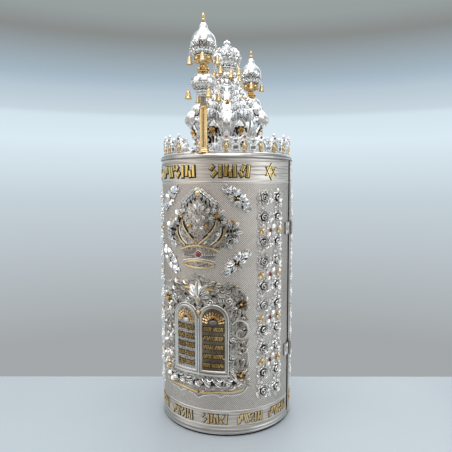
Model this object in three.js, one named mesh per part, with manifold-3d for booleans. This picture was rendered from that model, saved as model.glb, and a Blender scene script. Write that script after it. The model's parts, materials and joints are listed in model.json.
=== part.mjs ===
// A cylindrical Torah case: two hinged half shells of dark wood under silver sheet, with applied
// reliefs, a low gallery and a split crown on top, and a finial with bells on each half.
// Millimetres, +Z up. The origin is at the middle of the underside. The front half faces -Y,
// the hinges are at +X and the clasps at -X.
import * as THREE from "three";
import { mergeVertices } from "three/addons/utils/BufferGeometryUtils.js";
import Module from "manifold-3d";

const wasm = await Module();
wasm.setup();

// ---- driving dimensions -------------------------------------------------------------------------
const caseRadius = 140; // outside of the silver sheet
const caseHeight = 549; // wooden case, from the ground to its top
const woodWall = 9;
const woodFloor = 10;
const sheet = 1.1; // silver sheet
const gap = 0.3; // between pieces that touch
const seamGap = 0.3; // each half's wooden edge stops this far from the seam
const sheetEdge = 2.2; // the silver stops this far from the seam and shows the wood
const around = 48; // facets in a full turn of the case

const woodRadius = caseRadius - sheet - gap;
const skirtTop = 545.7; // top of the silver sheet, under the top rim
const baseRimBottom = 4.3;
const baseRimTop = 14.7;
const rimRadius = 142.8;
const plateTop = 551.6;
const rimTop = 555.6;

const reliefInner = caseRadius + gap;
const bandAngle = 60; // middle of each flower band, from the middle of its half
const bandWidth = 68;
const bandBottom = 64;
const bandTop = 491;

const galleryInner = 130.5;
const galleryOuter = 135;
const galleryTop = 594;
const archPitch = 15; // degrees
const archesPerQuarter = 5;

const finialReach = 130; // from the case's axis to the finial's axis
const frontFinialTurn = 3; // degrees from the middle of the half
const backFinialTurn = 176.5;
const finialFoot = 12; // radius

const hingeHeights = { upper: 408, lower: 151.5 };
const hingeHigh = 25;
const hingeLeafReach = 22;
const pinX = 144.7;
const knuckleRadius = 3.2;
const pinRadius = 1.4;
const boreRadius = 1.75;

// ---- materials ----------------------------------------------------------------------------------
const silver = new THREE.MeshStandardMaterial({ color: 0xc9c6c0, roughness: 0.3, metalness: 1 });
const gilt = new THREE.MeshStandardMaterial({ color: 0xd9a94a, roughness: 0.25, metalness: 1 });
const darkWood = new THREE.MeshStandardMaterial({ color: 0x1d1614, roughness: 0.6, metalness: 0 });

const model = new THREE.Group();

// ---- solids -------------------------------------------------------------------------------------
function solid(geometry) {
  const bare = (geometry.index ? geometry.toNonIndexed() : geometry).clone();
  bare.deleteAttribute("normal");
  bare.deleteAttribute("uv");
  const merged = mergeVertices(bare, 1e-3);
  return new wasm.Manifold(
    new wasm.Mesh({
      numProp: 3,
      vertProperties: merged.attributes.position.array,
      triVerts: new Uint32Array(merged.index.array),
    }),
  );
}

function addPiece(name, made, material) {
  const mesh = made.getMesh();
  const geometry = new THREE.BufferGeometry();
  geometry.setAttribute("position", new THREE.BufferAttribute(mesh.vertProperties, 3));
  geometry.setIndex(new THREE.BufferAttribute(mesh.triVerts, 1));
  geometry.computeVertexNormals();
  const piece = new THREE.Mesh(geometry, material);
  piece.name = name;
  model.add(piece);
}

// A profile of [radius, height] points, from the bottom up, turned about Z.
function turned(profile, segments) {
  const points = profile.map(([r, z]) => new THREE.Vector2(r, z));
  return solid(new THREE.LatheGeometry(points, segments).rotateX(Math.PI / 2));
}

function box(x0, x1, y0, y1, z0, z1) {
  const geometry = new THREE.BoxGeometry(x1 - x0, y1 - y0, z1 - z0);
  return solid(geometry.translate((x0 + x1) / 2, (y0 + y1) / 2, (z0 + z1) / 2));
}

// A closed ring between two radii and two heights.
function tube(inner, outer, z0, z1, segments = around) {
  return turned([[inner, z0], [outer, z0], [outer, z1], [inner, z1], [inner, z0]], segments);
}

function placed(made, x, y, z) {
  return made.translate([x, y, z]);
}

// Everything on one side of the seam: side is -1 for the front half and 1 for the back.
function halfOf(made, side, clear) {
  const far = 400;
  const [y0, y1] = side < 0 ? [-far, -clear] : [clear, far];
  return made.intersect(box(-far, far, y0, y1, -far, 1000));
}

// A flat outline, drawn with x to the right and y up as seen from outside, cut through a ring.
// turn is the angle from the middle of the front half, towards +X.
function applied(shape, inner, outer, turn, curveSegments) {
  const depth = 90;
  const prism = new THREE.ExtrudeGeometry(shape, { depth, bevelEnabled: false, curveSegments });
  prism.rotateX(Math.PI / 2);
  prism.translate(0, -caseRadius * 0.55, 0);
  prism.rotateZ(THREE.MathUtils.degToRad(turn));
  const stand = solid(prism);
  const bounds = stand.boundingBox();
  return stand.intersect(tube(inner, outer, bounds.min[2] - 1, bounds.max[2] + 1));
}

// ---- the case -----------------------------------------------------------------------------------
function caseShell(side) {
  const outside = turned([[0, 0], [woodRadius, 0], [woodRadius, caseHeight], [0, caseHeight]], around);
  const hollowRadius = woodRadius - woodWall;
  const hollowTop = caseHeight - woodFloor;
  const hollow = turned(
    [[0, woodFloor], [hollowRadius, woodFloor], [hollowRadius, hollowTop], [0, hollowTop]],
    around,
  );
  return halfOf(outside.subtract(hollow), side, seamGap);
}

function silverSheet(side) {
  return halfOf(tube(caseRadius - sheet, caseRadius, baseRimTop + gap, skirtTop), side, sheetEdge);
}

function baseRim(side) {
  const inner = caseRadius - sheet;
  const profile = [
    [inner, baseRimBottom],
    [caseRadius + 1.2, baseRimBottom],
    [caseRadius + 1.2, baseRimTop - 5],
    [caseRadius + 0.4, baseRimTop],
    [inner, baseRimTop],
    [inner, baseRimBottom],
  ];
  return halfOf(turned(profile, around), side, sheetEdge);
}

// The silver plate on top of the case, with a rolled rim that hangs over the sheet.
function topPlate(side) {
  const under = caseHeight + gap;
  const skirt = caseRadius - sheet;
  const profile = [
    [0, under],
    [skirt, under],
    [skirt, skirtTop + gap],
    [rimRadius - 1.4, skirtTop + gap],
    [rimRadius, skirtTop + 2.6],
    [rimRadius - 0.5, rimTop - 2],
    [rimRadius - 3.6, rimTop],
    [122, rimTop],
    [120, plateTop],
    [0, plateTop],
  ];
  return halfOf(turned(profile, around), side, 0.8);
}

// ---- the gallery --------------------------------------------------------------------------------
// One arch: a post on each side, a round head, and a crest with a knob.
function archShape() {
  const halfWide = 17.6;
  const shoulder = rimTop + 24;
  const shape = new THREE.Shape();
  shape.moveTo(-halfWide, rimTop + gap);
  shape.lineTo(halfWide, rimTop + gap);
  shape.lineTo(halfWide, shoulder);
  shape.quadraticCurveTo(halfWide * 0.75, galleryTop - 4, 4, galleryTop - 4);
  shape.lineTo(2.6, galleryTop);
  shape.lineTo(-2.6, galleryTop);
  shape.lineTo(-4, galleryTop - 4);
  shape.quadraticCurveTo(-halfWide * 0.75, galleryTop - 4, -halfWide, shoulder);
  shape.closePath();
  const opening = new THREE.Path();
  const openHalf = 9.5;
  const sill = rimTop + 6.5;
  const spring = rimTop + 17;
  opening.moveTo(-openHalf, sill);
  opening.lineTo(-openHalf, spring);
  opening.absarc(0, spring, openHalf, Math.PI, 0, true);
  opening.lineTo(openHalf, sill);
  opening.closePath();
  shape.holes.push(opening);
  return shape;
}

// The scroll bracket that ends the gallery beside the finial; it leans towards the arches.
function bracketShape(towards) {
  const shape = new THREE.Shape();
  const near = -7.6 * towards;
  const far = 9.9 * towards;
  shape.moveTo(near, rimTop + gap);
  shape.lineTo(near, rimTop + 5);
  shape.quadraticCurveTo(near * 0.1, rimTop + 9, far * 0.2, rimTop + 27);
  shape.lineTo(far, rimTop + 24);
  shape.lineTo(far, rimTop + gap);
  shape.closePath();
  return shape;
}

function finialPlace(turn) {
  const angle = THREE.MathUtils.degToRad(turn);
  return [finialReach * Math.sin(angle), -finialReach * Math.cos(angle)];
}

// A quarter of the gallery, cleared round the finial's foot;
// towards (1 or -1) says which way it runs from the finial.
function galleryQuarter(middle, towards, side, finialTurn) {
  const bracketTurn = middle + towards * (archPitch - 3.9);
  let quarter = applied(bracketShape(towards), galleryInner, galleryOuter, bracketTurn, 3);
  for (let i = 0; i < archesPerQuarter; i++) {
    const turn = middle + towards * archPitch * (i + 1.5);
    quarter = quarter.add(applied(archShape(), galleryInner, galleryOuter, turn, 3));
  }
  const [x, y] = finialPlace(finialTurn);
  const clear = finialFoot + 0.8;
  const room = turned([[0, 0], [clear, 0], [clear, 60], [0, 60]], 16);
  return halfOf(quarter.subtract(placed(room, x, y, rimTop)), side, 0.8);
}

// ---- the reliefs --------------------------------------------------------------------------------
// The crown: an oval foot, a waisted band, arms that swell out to a leaf on each side, and a ball.
function crownShape() {
  const foot = 335;
  const shape = new THREE.Shape();
  shape.moveTo(0, foot);
  shape.quadraticCurveTo(33, foot, 33, foot + 9);
  shape.lineTo(37, foot + 40);
  shape.quadraticCurveTo(67, foot + 50, 69, foot + 80);
  shape.quadraticCurveTo(66, foot + 95, 56, foot + 94);
  shape.lineTo(40, foot + 106);
  shape.lineTo(41, foot + 124);
  shape.lineTo(10, foot + 139);
  shape.quadraticCurveTo(9, foot + 150, 0, foot + 150);
  shape.quadraticCurveTo(-9, foot + 150, -10, foot + 139);
  shape.lineTo(-41, foot + 124);
  shape.lineTo(-40, foot + 106);
  shape.lineTo(-56, foot + 94);
  shape.quadraticCurveTo(-66, foot + 95, -69, foot + 80);
  shape.quadraticCurveTo(-67, foot + 50, -37, foot + 40);
  shape.lineTo(-33, foot + 9);
  shape.quadraticCurveTo(-33, foot, 0, foot);
  return shape;
}

// The scrolled cartouche behind the two tablets.
function cartoucheShape() {
  const half = 93;
  const low = 82;
  const shape = new THREE.Shape();
  shape.moveTo(0, low);
  shape.lineTo(half * 0.72, low + 4);
  shape.quadraticCurveTo(half * 1.02, low + 6, half, low + 44);
  shape.quadraticCurveTo(half * 0.86, low + 70, half * 0.92, low + 100);
  shape.quadraticCurveTo(half * 1.04, low + 130, half * 0.9, low + 150);
  shape.quadraticCurveTo(half * 0.98, low + 196, half * 0.7, low + 200);
  shape.quadraticCurveTo(half * 0.4, low + 214, 22, low + 205);
  shape.quadraticCurveTo(20, low + 232, 0, low + 234);
  shape.quadraticCurveTo(-20, low + 232, -22, low + 205);
  shape.quadraticCurveTo(-half * 0.4, low + 214, -half * 0.7, low + 200);
  shape.quadraticCurveTo(-half * 0.98, low + 196, -half * 0.9, low + 150);
  shape.quadraticCurveTo(-half * 1.04, low + 130, -half * 0.92, low + 100);
  shape.quadraticCurveTo(-half * 0.86, low + 70, -half, low + 44);
  shape.quadraticCurveTo(-half * 1.02, low + 6, -half * 0.72, low + 4);
  shape.closePath();
  return shape;
}

// A round-headed tablet, its middle at x.
function tabletShape(x) {
  const half = 26;
  const low = 127;
  const spring = 235;
  const shape = new THREE.Shape();
  shape.moveTo(x - half, low);
  shape.lineTo(x + half, low);
  shape.lineTo(x + half, spring);
  shape.absarc(x, spring, half, 0, Math.PI, false);
  shape.closePath();
  return shape;
}

function tabletsRelief(turn) {
  const back = applied(cartoucheShape(), reliefInner, reliefInner + 2, turn, 3);
  const left = applied(tabletShape(-28.5), reliefInner, reliefInner + 3.6, turn, 5);
  const right = applied(tabletShape(28.5), reliefInner, reliefInner + 3.6, turn, 5);
  return back.add(left).add(right);
}

function bandShape() {
  const half = bandWidth / 2;
  const shape = new THREE.Shape();
  shape.moveTo(-half, bandBottom + 14);
  shape.quadraticCurveTo(-half, bandBottom, 0, bandBottom);
  shape.quadraticCurveTo(half, bandBottom, half, bandBottom + 14);
  shape.lineTo(half, bandTop - 14);
  shape.quadraticCurveTo(half, bandTop, 0, bandTop);
  shape.quadraticCurveTo(-half, bandTop, -half, bandTop - 14);
  shape.closePath();
  return shape;
}

// ---- the split crown ----------------------------------------------------------------------------
// A thin shell: a flaring band, a swelling body, a dome, and a skirted neck under the orb.
function crownHalf(side) {
  const foot = plateTop + gap;
  const wall = 2.4;
  const outside = [
    [60, foot],
    [64, foot + 4],
    [60, foot + 10],
    [68, foot + 42],
    [78, foot + 66],
    [76, foot + 78],
    [67, foot + 94],
    [54, foot + 110],
    [39, foot + 128],
    [29, foot + 146],
    [26, foot + 154],
    [19, foot + 176],
    [21, foot + 190],
  ];
  const inside = outside.map(([r, z]) => [r - wall, z]);
  const [lidRadius, lidTop] = inside.pop();
  inside.push([lidRadius, lidTop - wall], [0, lidTop - wall]);
  const profile = [...outside, [0, lidTop], ...inside.reverse(), outside[0]];
  return halfOf(turned(profile, 20), side, 0.8);
}

function crownOrb() {
  const foot = plateTop + gap + 190 + gap;
  return turned(
    [
      [0, foot],
      [13, foot],
      [26, foot + 14],
      [28, foot + 25],
      [22, foot + 40],
      [8, foot + 48],
      [5, foot + 52],
      [8, foot + 58],
      [0, foot + 63],
    ],
    12,
  );
}

// ---- the finials --------------------------------------------------------------------------------
// The gilded column is fluted: a many-lobed outline between a moulded foot and a collar.
function finialColumn() {
  const flutes = 10;
  const crest = 8;
  const valley = 7;
  const foot = rimTop + gap;
  const shape = new THREE.Shape();
  for (let i = 0; i < flutes * 2; i++) {
    const radius = i % 2 ? valley : crest;
    const angle = (i * Math.PI) / flutes;
    const point = [radius * Math.cos(angle), radius * Math.sin(angle)];
    if (i) shape.lineTo(...point);
    else shape.moveTo(...point);
  }
  shape.closePath();
  const shaft = solid(new THREE.ExtrudeGeometry(shape, { depth: 82, bevelEnabled: false }));
  const base = turned(
    [
      [0, foot],
      [finialFoot, foot],
      [finialFoot, foot + 3],
      [8.5, foot + 8],
      [0, foot + 8],
    ],
    16,
  );
  return base.add(placed(shaft, 0, 0, foot + 7));
}

const columnTop = rimTop + gap + 89;

function finialGlobe() {
  const foot = columnTop + gap;
  return turned(
    [
      [0, foot],
      [6.5, foot],
      [5, foot + 19],
      [14, foot + 22],
      [14, foot + 25],
      [9, foot + 28],
      [18, foot + 33],
      [22, foot + 42],
      [21, foot + 50],
      [14, foot + 57],
      [10.5, foot + 62],
      [0, foot + 62],
    ],
    12,
  );
}

function finialCup() {
  const foot = columnTop + 62 + gap * 2;
  return turned(
    [[0, foot], [9, foot], [6, foot + 12], [7, foot + 18], [17.5, foot + 28], [0, foot + 30]],
    12,
  );
}

function finialBulb() {
  const foot = columnTop + 92 + gap * 3;
  return turned(
    [
      [0, foot],
      [14, foot],
      [20, foot + 8],
      [23.5, foot + 20],
      [23.5, foot + 29],
      [17, foot + 40],
      [9.4, foot + 48],
      [6.8, foot + 60],
      [0, foot + 60],
    ],
    12,
  );
}

function finialTip() {
  const foot = columnTop + 152 + gap * 4;
  return turned([[0, foot], [4, foot], [4, foot + 5], [1.8, foot + 9], [1.8, foot + 19], [0, foot + 20]], 8);
}

// A bell on its hanger: a wire up from the bell and an arm back to the piece it hangs from.
function bellOnHanger(reach, bellTop, armHeight, armEnd) {
  const bell = turned(
    [[0, -15], [6, -16], [4.4, -9], [3.2, -3], [0, 0]],
    6,
  );
  const wire = box(-0.6, 0.6, -0.6, 0.6, -1, armHeight - bellTop);
  const arm = box(armEnd - reach, 0.6, -0.6, 0.6, armHeight - bellTop - 1.2, armHeight - bellTop);
  return placed(bell.add(wire).add(arm), reach, 0, bellTop);
}

const upperTier = { count: 4, firstTurn: 22, reach: 26, bellTop: 738, armHeight: 750, armEnd: 21.6 };
const lowerTier = { count: 4, firstTurn: 44, reach: 30, bellTop: 672, armHeight: 683, armEnd: 20.9 };

function addFinial(half, turn) {
  const [x, y] = finialPlace(turn);
  addPiece(`${half}_finial_column`, placed(finialColumn(), x, y, 0), gilt);
  addPiece(`${half}_finial_globe`, placed(finialGlobe(), x, y, 0), silver);
  addPiece(`${half}_finial_cup`, placed(finialCup(), x, y, 0), gilt);
  addPiece(`${half}_finial_bulb`, placed(finialBulb(), x, y, 0), silver);
  addPiece(`${half}_finial_tip`, placed(finialTip(), x, y, 0), gilt);
  for (const [tierName, tier] of Object.entries({ upper: upperTier, lower: lowerTier })) {
    for (let i = 0; i < tier.count; i++) {
      const spin = tier.firstTurn + (i * 360) / tier.count;
      const bell = bellOnHanger(tier.reach, tier.bellTop, tier.armHeight, tier.armEnd);
      addPiece(`${half}_${tierName}_bell_${i + 1}`, placed(bell.rotate([0, 0, spin]), x, y, 0), gilt);
    }
  }
}

// ---- hinges and clasps --------------------------------------------------------------------------
// A leaf hugs the sheet and carries the knuckles that lie within its own stretches of the height.
function hingeLeaf(side, middle, stretches) {
  const low = middle - hingeHigh / 2;
  const high = middle + hingeHigh / 2;
  const plate = tube(reliefInner, reliefInner + 1.7, low, high, 96);
  const reach = (from, to, z0, z1) =>
    side < 0 ? box(100, 160, -to, -from, z0, z1) : box(100, 160, from, to, z0, z1);
  let leaf = plate.intersect(reach(knuckleRadius + 1.2, hingeLeafReach, low, high));
  for (const [from, to] of stretches) {
    const z0 = low + from * hingeHigh + 0.2;
    const z1 = low + to * hingeHigh - 0.2;
    const knuckle = turned([[0, z0], [knuckleRadius, z0], [knuckleRadius, z1], [0, z1]], 12);
    const web = plate.intersect(reach(0.6, knuckleRadius + 1.4, z0, z1));
    leaf = leaf.add(web).add(placed(knuckle, pinX, 0, 0));
  }
  const bore = turned([[0, low - 1], [boreRadius, low - 1], [boreRadius, high + 1], [0, high + 1]], 12);
  return leaf.subtract(placed(bore, pinX, 0, 0));
}

function hingePin(middle) {
  const low = middle - hingeHigh / 2 - 0.3;
  const high = middle + hingeHigh / 2 + 0.3;
  const pin = turned(
    [
      [0, low - 2.4],
      [2.4, low - 1.6],
      [2.4, low],
      [pinRadius, low],
      [pinRadius, high],
      [2.4, high],
      [2.4, high + 1.6],
      [0, high + 2.4],
    ],
    10,
  );
  return placed(pin, pinX, 0, 0);
}

// The clasp: a forked spring tongue on the back half that clips over a ball stud on the front half.
function claspStud(middle) {
  const stud = turned([[0, 0], [1.6, 0], [1.6, 3.4], [2.6, 4.6], [1.6, 6], [0, 6]], 10);
  const y = -11;
  const x = -Math.sqrt(reliefInner ** 2 - y ** 2);
  const plate = tube(reliefInner, reliefInner + 1.2, middle - 9, middle + 9, 96);
  const foot = plate.intersect(box(-160, -100, -20, -sheetEdge, middle - 9, middle + 9));
  return foot.add(placed(stud.rotate([0, -90, 0]), x - 0.8, y, middle));
}

function claspTongue(middle) {
  const plate = tube(reliefInner, reliefInner + 1.2, middle - 9, middle + 9, 96);
  const foot = plate.intersect(box(-160, -100, sheetEdge, 20, middle - 9, middle + 9));
  const raised = tube(reliefInner + 1.5, reliefInner + 2.9, middle - 6, middle + 6, 96);
  const tongue = raised.intersect(box(-160, -100, -16, 15, middle - 6, middle + 6));
  const block = tube(reliefInner + 1, reliefInner + 2.9, middle - 6, middle + 6, 96);
  const riser = block.intersect(box(-160, -100, 4, 15, middle - 6, middle + 6));
  const fork = box(-160, -100, -20, -8.2, middle - 2.2, middle + 2.2);
  return foot.add(riser).add(tongue).subtract(fork);
}

// ---- the whole object ---------------------------------------------------------------------------
const halves = [
  { half: "front", side: -1, middle: 0, finialTurn: frontFinialTurn },
  { half: "back", side: 1, middle: 180, finialTurn: backFinialTurn },
];
for (const { half, side, middle, finialTurn } of halves) {
  addPiece(`${half}_case_shell`, caseShell(side), darkWood);
  addPiece(`${half}_silver_sheet`, silverSheet(side), silver);
  addPiece(`${half}_base_rim`, baseRim(side), silver);
  addPiece(`${half}_top_plate`, topPlate(side), silver);
  addPiece(`${half}_gallery_right`, galleryQuarter(middle, 1, side, finialTurn), silver);
  addPiece(`${half}_gallery_left`, galleryQuarter(middle, -1, side, finialTurn), silver);
  const crownRelief = applied(crownShape(), reliefInner, reliefInner + 3, middle, 4);
  addPiece(`${half}_crown_relief`, crownRelief, silver);
  addPiece(`${half}_tablets_relief`, tabletsRelief(middle), silver);
  for (const [name, sign] of [["right", 1], ["left", -1]]) {
    const band = applied(bandShape(), reliefInner, reliefInner + 1.8, middle + sign * bandAngle, 4);
    addPiece(`${half}_flower_band_${name}`, band, silver);
  }
  addPiece(`${half}_crown_half`, crownHalf(side), silver);
  addFinial(half, finialTurn);
}
addPiece("crown_orb", crownOrb(), silver);

for (const [name, middle] of Object.entries(hingeHeights)) {
  addPiece(`${name}_hinge_front_leaf`, hingeLeaf(-1, middle, [[0, 0.33], [0.67, 1]]), silver);
  addPiece(`${name}_hinge_back_leaf`, hingeLeaf(1, middle, [[0.33, 0.67]]), silver);
  addPiece(`${name}_hinge_pin`, hingePin(middle), silver);
  addPiece(`${name}_clasp_stud`, claspStud(middle), silver);
  addPiece(`${name}_clasp_tongue`, claspTongue(middle), silver);
}

export default model;
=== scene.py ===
# A standing Torah case in chased silver, part gilt, with a split crown and two finials.
import json
import math
import random
import bpy
from mathutils import Matrix, Vector


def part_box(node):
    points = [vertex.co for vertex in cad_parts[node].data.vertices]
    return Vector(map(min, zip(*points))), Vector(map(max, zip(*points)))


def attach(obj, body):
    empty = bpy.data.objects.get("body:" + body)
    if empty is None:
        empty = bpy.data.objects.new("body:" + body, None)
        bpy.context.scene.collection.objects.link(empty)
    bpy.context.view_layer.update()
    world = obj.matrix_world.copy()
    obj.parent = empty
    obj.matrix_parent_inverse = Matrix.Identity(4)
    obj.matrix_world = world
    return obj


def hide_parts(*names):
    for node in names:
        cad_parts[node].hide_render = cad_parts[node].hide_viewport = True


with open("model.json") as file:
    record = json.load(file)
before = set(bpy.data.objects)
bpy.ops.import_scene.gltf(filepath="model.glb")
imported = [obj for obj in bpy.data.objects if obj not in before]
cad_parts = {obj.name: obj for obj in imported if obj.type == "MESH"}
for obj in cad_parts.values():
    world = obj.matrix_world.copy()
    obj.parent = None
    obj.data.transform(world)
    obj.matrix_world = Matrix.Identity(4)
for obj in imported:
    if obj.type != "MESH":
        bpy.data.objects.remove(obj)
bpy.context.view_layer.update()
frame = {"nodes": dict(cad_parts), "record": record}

dice = random.Random(613)
mm = 0.001
fineMend = 0.0000001   # for motifs and wires, whose points lie close

# sizes that come from the frame, in mm
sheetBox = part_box("front_silver_sheet")
caseRadius = sheetBox[1].x / mm
sheetLow, sheetHigh = sheetBox[0].z / mm, sheetBox[1].z / mm
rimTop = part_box("front_top_plate")[1].z / mm
halfTurns = {"front": 0.0, "back": 180.0}   # where each half's middle faces, from -Y towards +X
seamGap = {"sheet": 1.8, "plate": 0.8, "crown": 0.8}


# bench helpers
def turnBy(degrees, axis="Z"):
    return Matrix.Rotation(math.radians(degrees), 4, axis)


def shift(x, y, z):
    return Matrix.Translation((x * mm, y * mm, z * mm))


def clearBench():
    if bpy.context.mode != "OBJECT":
        bpy.ops.object.mode_set(mode="OBJECT")
    bpy.ops.object.select_all(action="DESELECT")


def fresh(primitive, **sizes):
    # a new primitive, with nothing else picked
    clearBench()
    primitive(**sizes)
    return bpy.context.active_object


def hold(piece):
    clearBench()
    piece.select_set(True)
    bpy.context.view_layer.objects.active = piece
    return piece


def startEdit(piece, wanted=None):
    # open the piece with only the wanted faces picked
    hold(piece)
    bpy.ops.object.mode_set(mode="EDIT")
    bpy.ops.mesh.select_mode(type="FACE" if wanted else "VERT")
    bpy.ops.mesh.select_all(action="DESELECT" if wanted else "SELECT")
    if wanted:
        bpy.ops.object.mode_set(mode="OBJECT")
        for face in piece.data.polygons:
            face.select = wanted(face)
        bpy.ops.object.mode_set(mode="EDIT")


def pickPoints(piece, wanted):
    bpy.ops.object.mode_set(mode="OBJECT")
    for part in (piece.data.polygons, piece.data.edges):
        part.foreach_set("select", [False] * len(part))
    for point in piece.data.vertices:
        point.select = wanted(point.co)
    bpy.ops.object.mode_set(mode="EDIT")
    bpy.ops.mesh.select_mode(type="VERT")


def endEdit():
    bpy.ops.object.mode_set(mode="OBJECT")


def settle(piece):
    hold(piece)
    bpy.ops.object.transform_apply(location=True, rotation=True, scale=True)
    return piece


def soften(piece, wanted, size, segments=1):
    # bevel the edges of the wanted faces
    startEdit(piece, wanted)
    bpy.ops.mesh.bevel(offset=size, segments=segments, affect="EDGES")
    endEdit()
    return piece


def closeUp(piece, mend=0.00001):
    # weld doubles and turn every face outwards
    startEdit(piece)
    bpy.ops.mesh.remove_doubles(threshold=mend)
    bpy.ops.mesh.normals_make_consistent(inside=False)
    endEdit()
    return piece


def polish(piece, material=None, angle=40):
    hold(piece)
    bpy.ops.object.shade_smooth_by_angle(angle=math.radians(angle))
    if material:
        piece.data.materials.clear()
        piece.data.materials.append(material)
    return piece


def joinAll(name, pieces):
    clearBench()
    for piece in pieces:
        piece.select_set(True)
    bpy.context.view_layer.objects.active = pieces[0]
    if len(pieces) > 1:
        bpy.ops.object.join()
    joined = bpy.context.view_layer.objects.active
    joined.name = name
    joined.data.name = name
    return settle(joined)


def copyOf(piece, place=None):
    double = piece.copy()
    double.data = piece.data.copy()
    bpy.context.collection.objects.link(double)
    if place is not None:
        double.matrix_world = place @ double.matrix_world
    return double


def turned(name, profile, steps=96, arc=360.0, start=0.0):
    # an open profile of (radius, height) in mm, spun about Z; the ends of a part turn are capped
    piece = fresh(bpy.ops.mesh.primitive_circle_add, vertices=len(profile), radius=1)
    piece.name = name
    for point, (radius, height) in zip(piece.data.vertices, profile):
        point.co = Vector((radius * mm, 0, height * mm))
    startEdit(piece)
    bpy.ops.mesh.edge_face_add()
    if arc >= 360:
        bpy.ops.mesh.delete(type="ONLY_FACE")
        bpy.ops.mesh.select_all(action="SELECT")
    bpy.ops.mesh.spin(steps=steps, angle=math.radians(arc), center=(0, 0, 0), axis=(0, 0, 1), dupli=False)
    endEdit()
    closeUp(piece)
    piece.data.transform(turnBy(start))
    return piece


def cutUpright(piece, low, high, pitch):
    # upright cuts, so that a flat plate can be rolled
    startEdit(piece)
    count = int((high - low) / pitch)
    for i in range(1, count):
        bpy.ops.mesh.select_all(action="SELECT")
        across = (low + i * (high - low) / count) * mm
        bpy.ops.mesh.bisect(plane_co=(across, 0, 0), plane_no=(1, 0, 0), use_fill=False)
    endEdit()
    return piece


def rollOnto(piece, radius, turn):
    # flat work lies in XZ with its face to -Y; rolling it puts y = 0 on the cylinder
    across = [point.co.x for point in piece.data.vertices]
    hold(piece)
    bend = piece.modifiers.new("roll", "SIMPLE_DEFORM")
    bend.deform_method = "BEND"
    bend.deform_axis = "Z"
    bend.angle = (max(across) - min(across)) / (radius * mm)
    bpy.ops.object.modifier_apply(modifier=bend.name)
    place = turnBy(turn) @ shift(0, -radius, 0)
    piece.data.transform(place)
    return piece


def onPanel(x, z, size=1.0, spin=0.0, lift=0.0, stretch=1.0, depth=1.0):
    # a motif's place on flat work: x across, z up, lift off the ground, all in mm
    return (
        shift(x, -lift, z)
        @ turnBy(90, "X")
        @ turnBy(spin)
        @ Matrix.Diagonal((size * mm, size * stretch * mm, size * depth * mm, 1))
    )


def onRound(azimuth, radius, z, size=1.0, spin=0.0, lean=0.0, stretch=1.0, depth=1.0):
    # a motif's place on turned work; lean tips its face up
    return (
        turnBy(azimuth)
        @ shift(0, -radius, z)
        @ turnBy(-lean, "X")
        @ turnBy(90, "X")
        @ turnBy(spin)
        @ Matrix.Diagonal((size * mm, size * stretch * mm, size * depth * mm, 1))
    )


def drawnOut(name, section, stations, angle=50):
    # a closed section of (across, up) drawn face up along stations of (x, y, heading, size)
    # headings are in degrees from +Y
    piece = fresh(bpy.ops.mesh.primitive_circle_add, vertices=len(section), radius=1, fill_type="NGON")
    piece.name = name
    x, y, heading, size = stations[0]
    turn = turnBy(heading)
    for point, (across, up) in zip(piece.data.vertices, section):
        point.co = Vector((x, y, 0)) + turn @ Vector((across * size, 0, up * size))
    startEdit(piece)
    for nextX, nextY, nextHeading, nextSize in stations[1:]:
        centre = (nextX, nextY, 0)
        bpy.ops.mesh.extrude_region_move(TRANSFORM_OT_translate={"value": (nextX - x, nextY - y, 0)})
        bpy.ops.transform.rotate(value=-math.radians(nextHeading - heading), orient_axis="Z", center_override=centre)
        bpy.ops.transform.resize(value=(nextSize / size,) * 3, center_override=centre)
        x, y, heading, size = nextX, nextY, nextHeading, nextSize
    endEdit()
    closeUp(piece, fineMend)
    return polish(piece, None, angle)


def spiral(turns, outer, inner, steps, thick, thin, clockwise=1, start=0.0):
    # stations that wind inwards; thick at the outside
    stations = []
    for i in range(steps + 1):
        t = i / steps
        radius = outer + (inner - outer) * t
        angle = math.radians(start) + clockwise * turns * 2 * math.pi * t
        x, y = radius * math.cos(angle), radius * math.sin(angle)
        heading = math.degrees(angle) + (0 if clockwise > 0 else 180)
        stations.append((x, y, heading, thick + (thin - thick) * t))
    return stations


# finishes
class Sheet:
    # a short way to add and link nodes
    def __init__(self, tree):
        self.tree = tree
        self.links = tree.links

    def add(self, kind, feeds=None, **values):
        node = self.tree.nodes.new(kind)
        for key, value in values.items():
            setattr(node, key, value)
        for socket, value in (feeds or {}).items():
            if isinstance(value, bpy.types.NodeSocket):
                self.links.new(value, node.inputs[socket])
            else:
                node.inputs[socket].default_value = value
        return node

    def place(self):
        return self.add("ShaderNodeTexCoord").outputs["Object"]

    def noise(self, place, scale, detail, **more):
        return self.add("ShaderNodeTexNoise", {"Vector": place, "Scale": scale, "Detail": detail, **more}).outputs[0]

    def stretched(self, place, ratios):
        return self.add("ShaderNodeVectorMath", {0: place, 1: ratios}, operation="MULTIPLY").outputs[0]

    def bump(self, height, strength, distance):
        return self.add("ShaderNodeBump", {"Height": height, "Strength": strength, "Distance": distance}).outputs[0]

    def sum(self, operation, *values):
        node = self.add("ShaderNodeMath", dict(enumerate(values)), operation=operation)
        return node.outputs[0]

    def span(self, value, low, high, bottom=0.0, top=1.0):
        node = self.add("ShaderNodeMapRange", {0: value, 1: low, 2: high, 3: bottom, 4: top})
        node.interpolation_type = "SMOOTHSTEP"
        return node.outputs[0]

    def mix(self, factor, first, second):
        return self.add("ShaderNodeMix", {0: factor, 6: first, 7: second}, data_type="RGBA").outputs[2]


def newGroup(name, inputs, outputs):
    group = bpy.data.node_groups.new(name, "ShaderNodeTree")
    for socket, default in inputs.items():
        made = group.interface.new_socket(socket, in_out="INPUT", socket_type="NodeSocketFloat")
        made.default_value = default
    for socket in outputs:
        group.interface.new_socket(socket, in_out="OUTPUT", socket_type="NodeSocketFloat")
    return group, Sheet(group), group.nodes.new("NodeGroupInput"), group.nodes.new("NodeGroupOutput")


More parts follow.
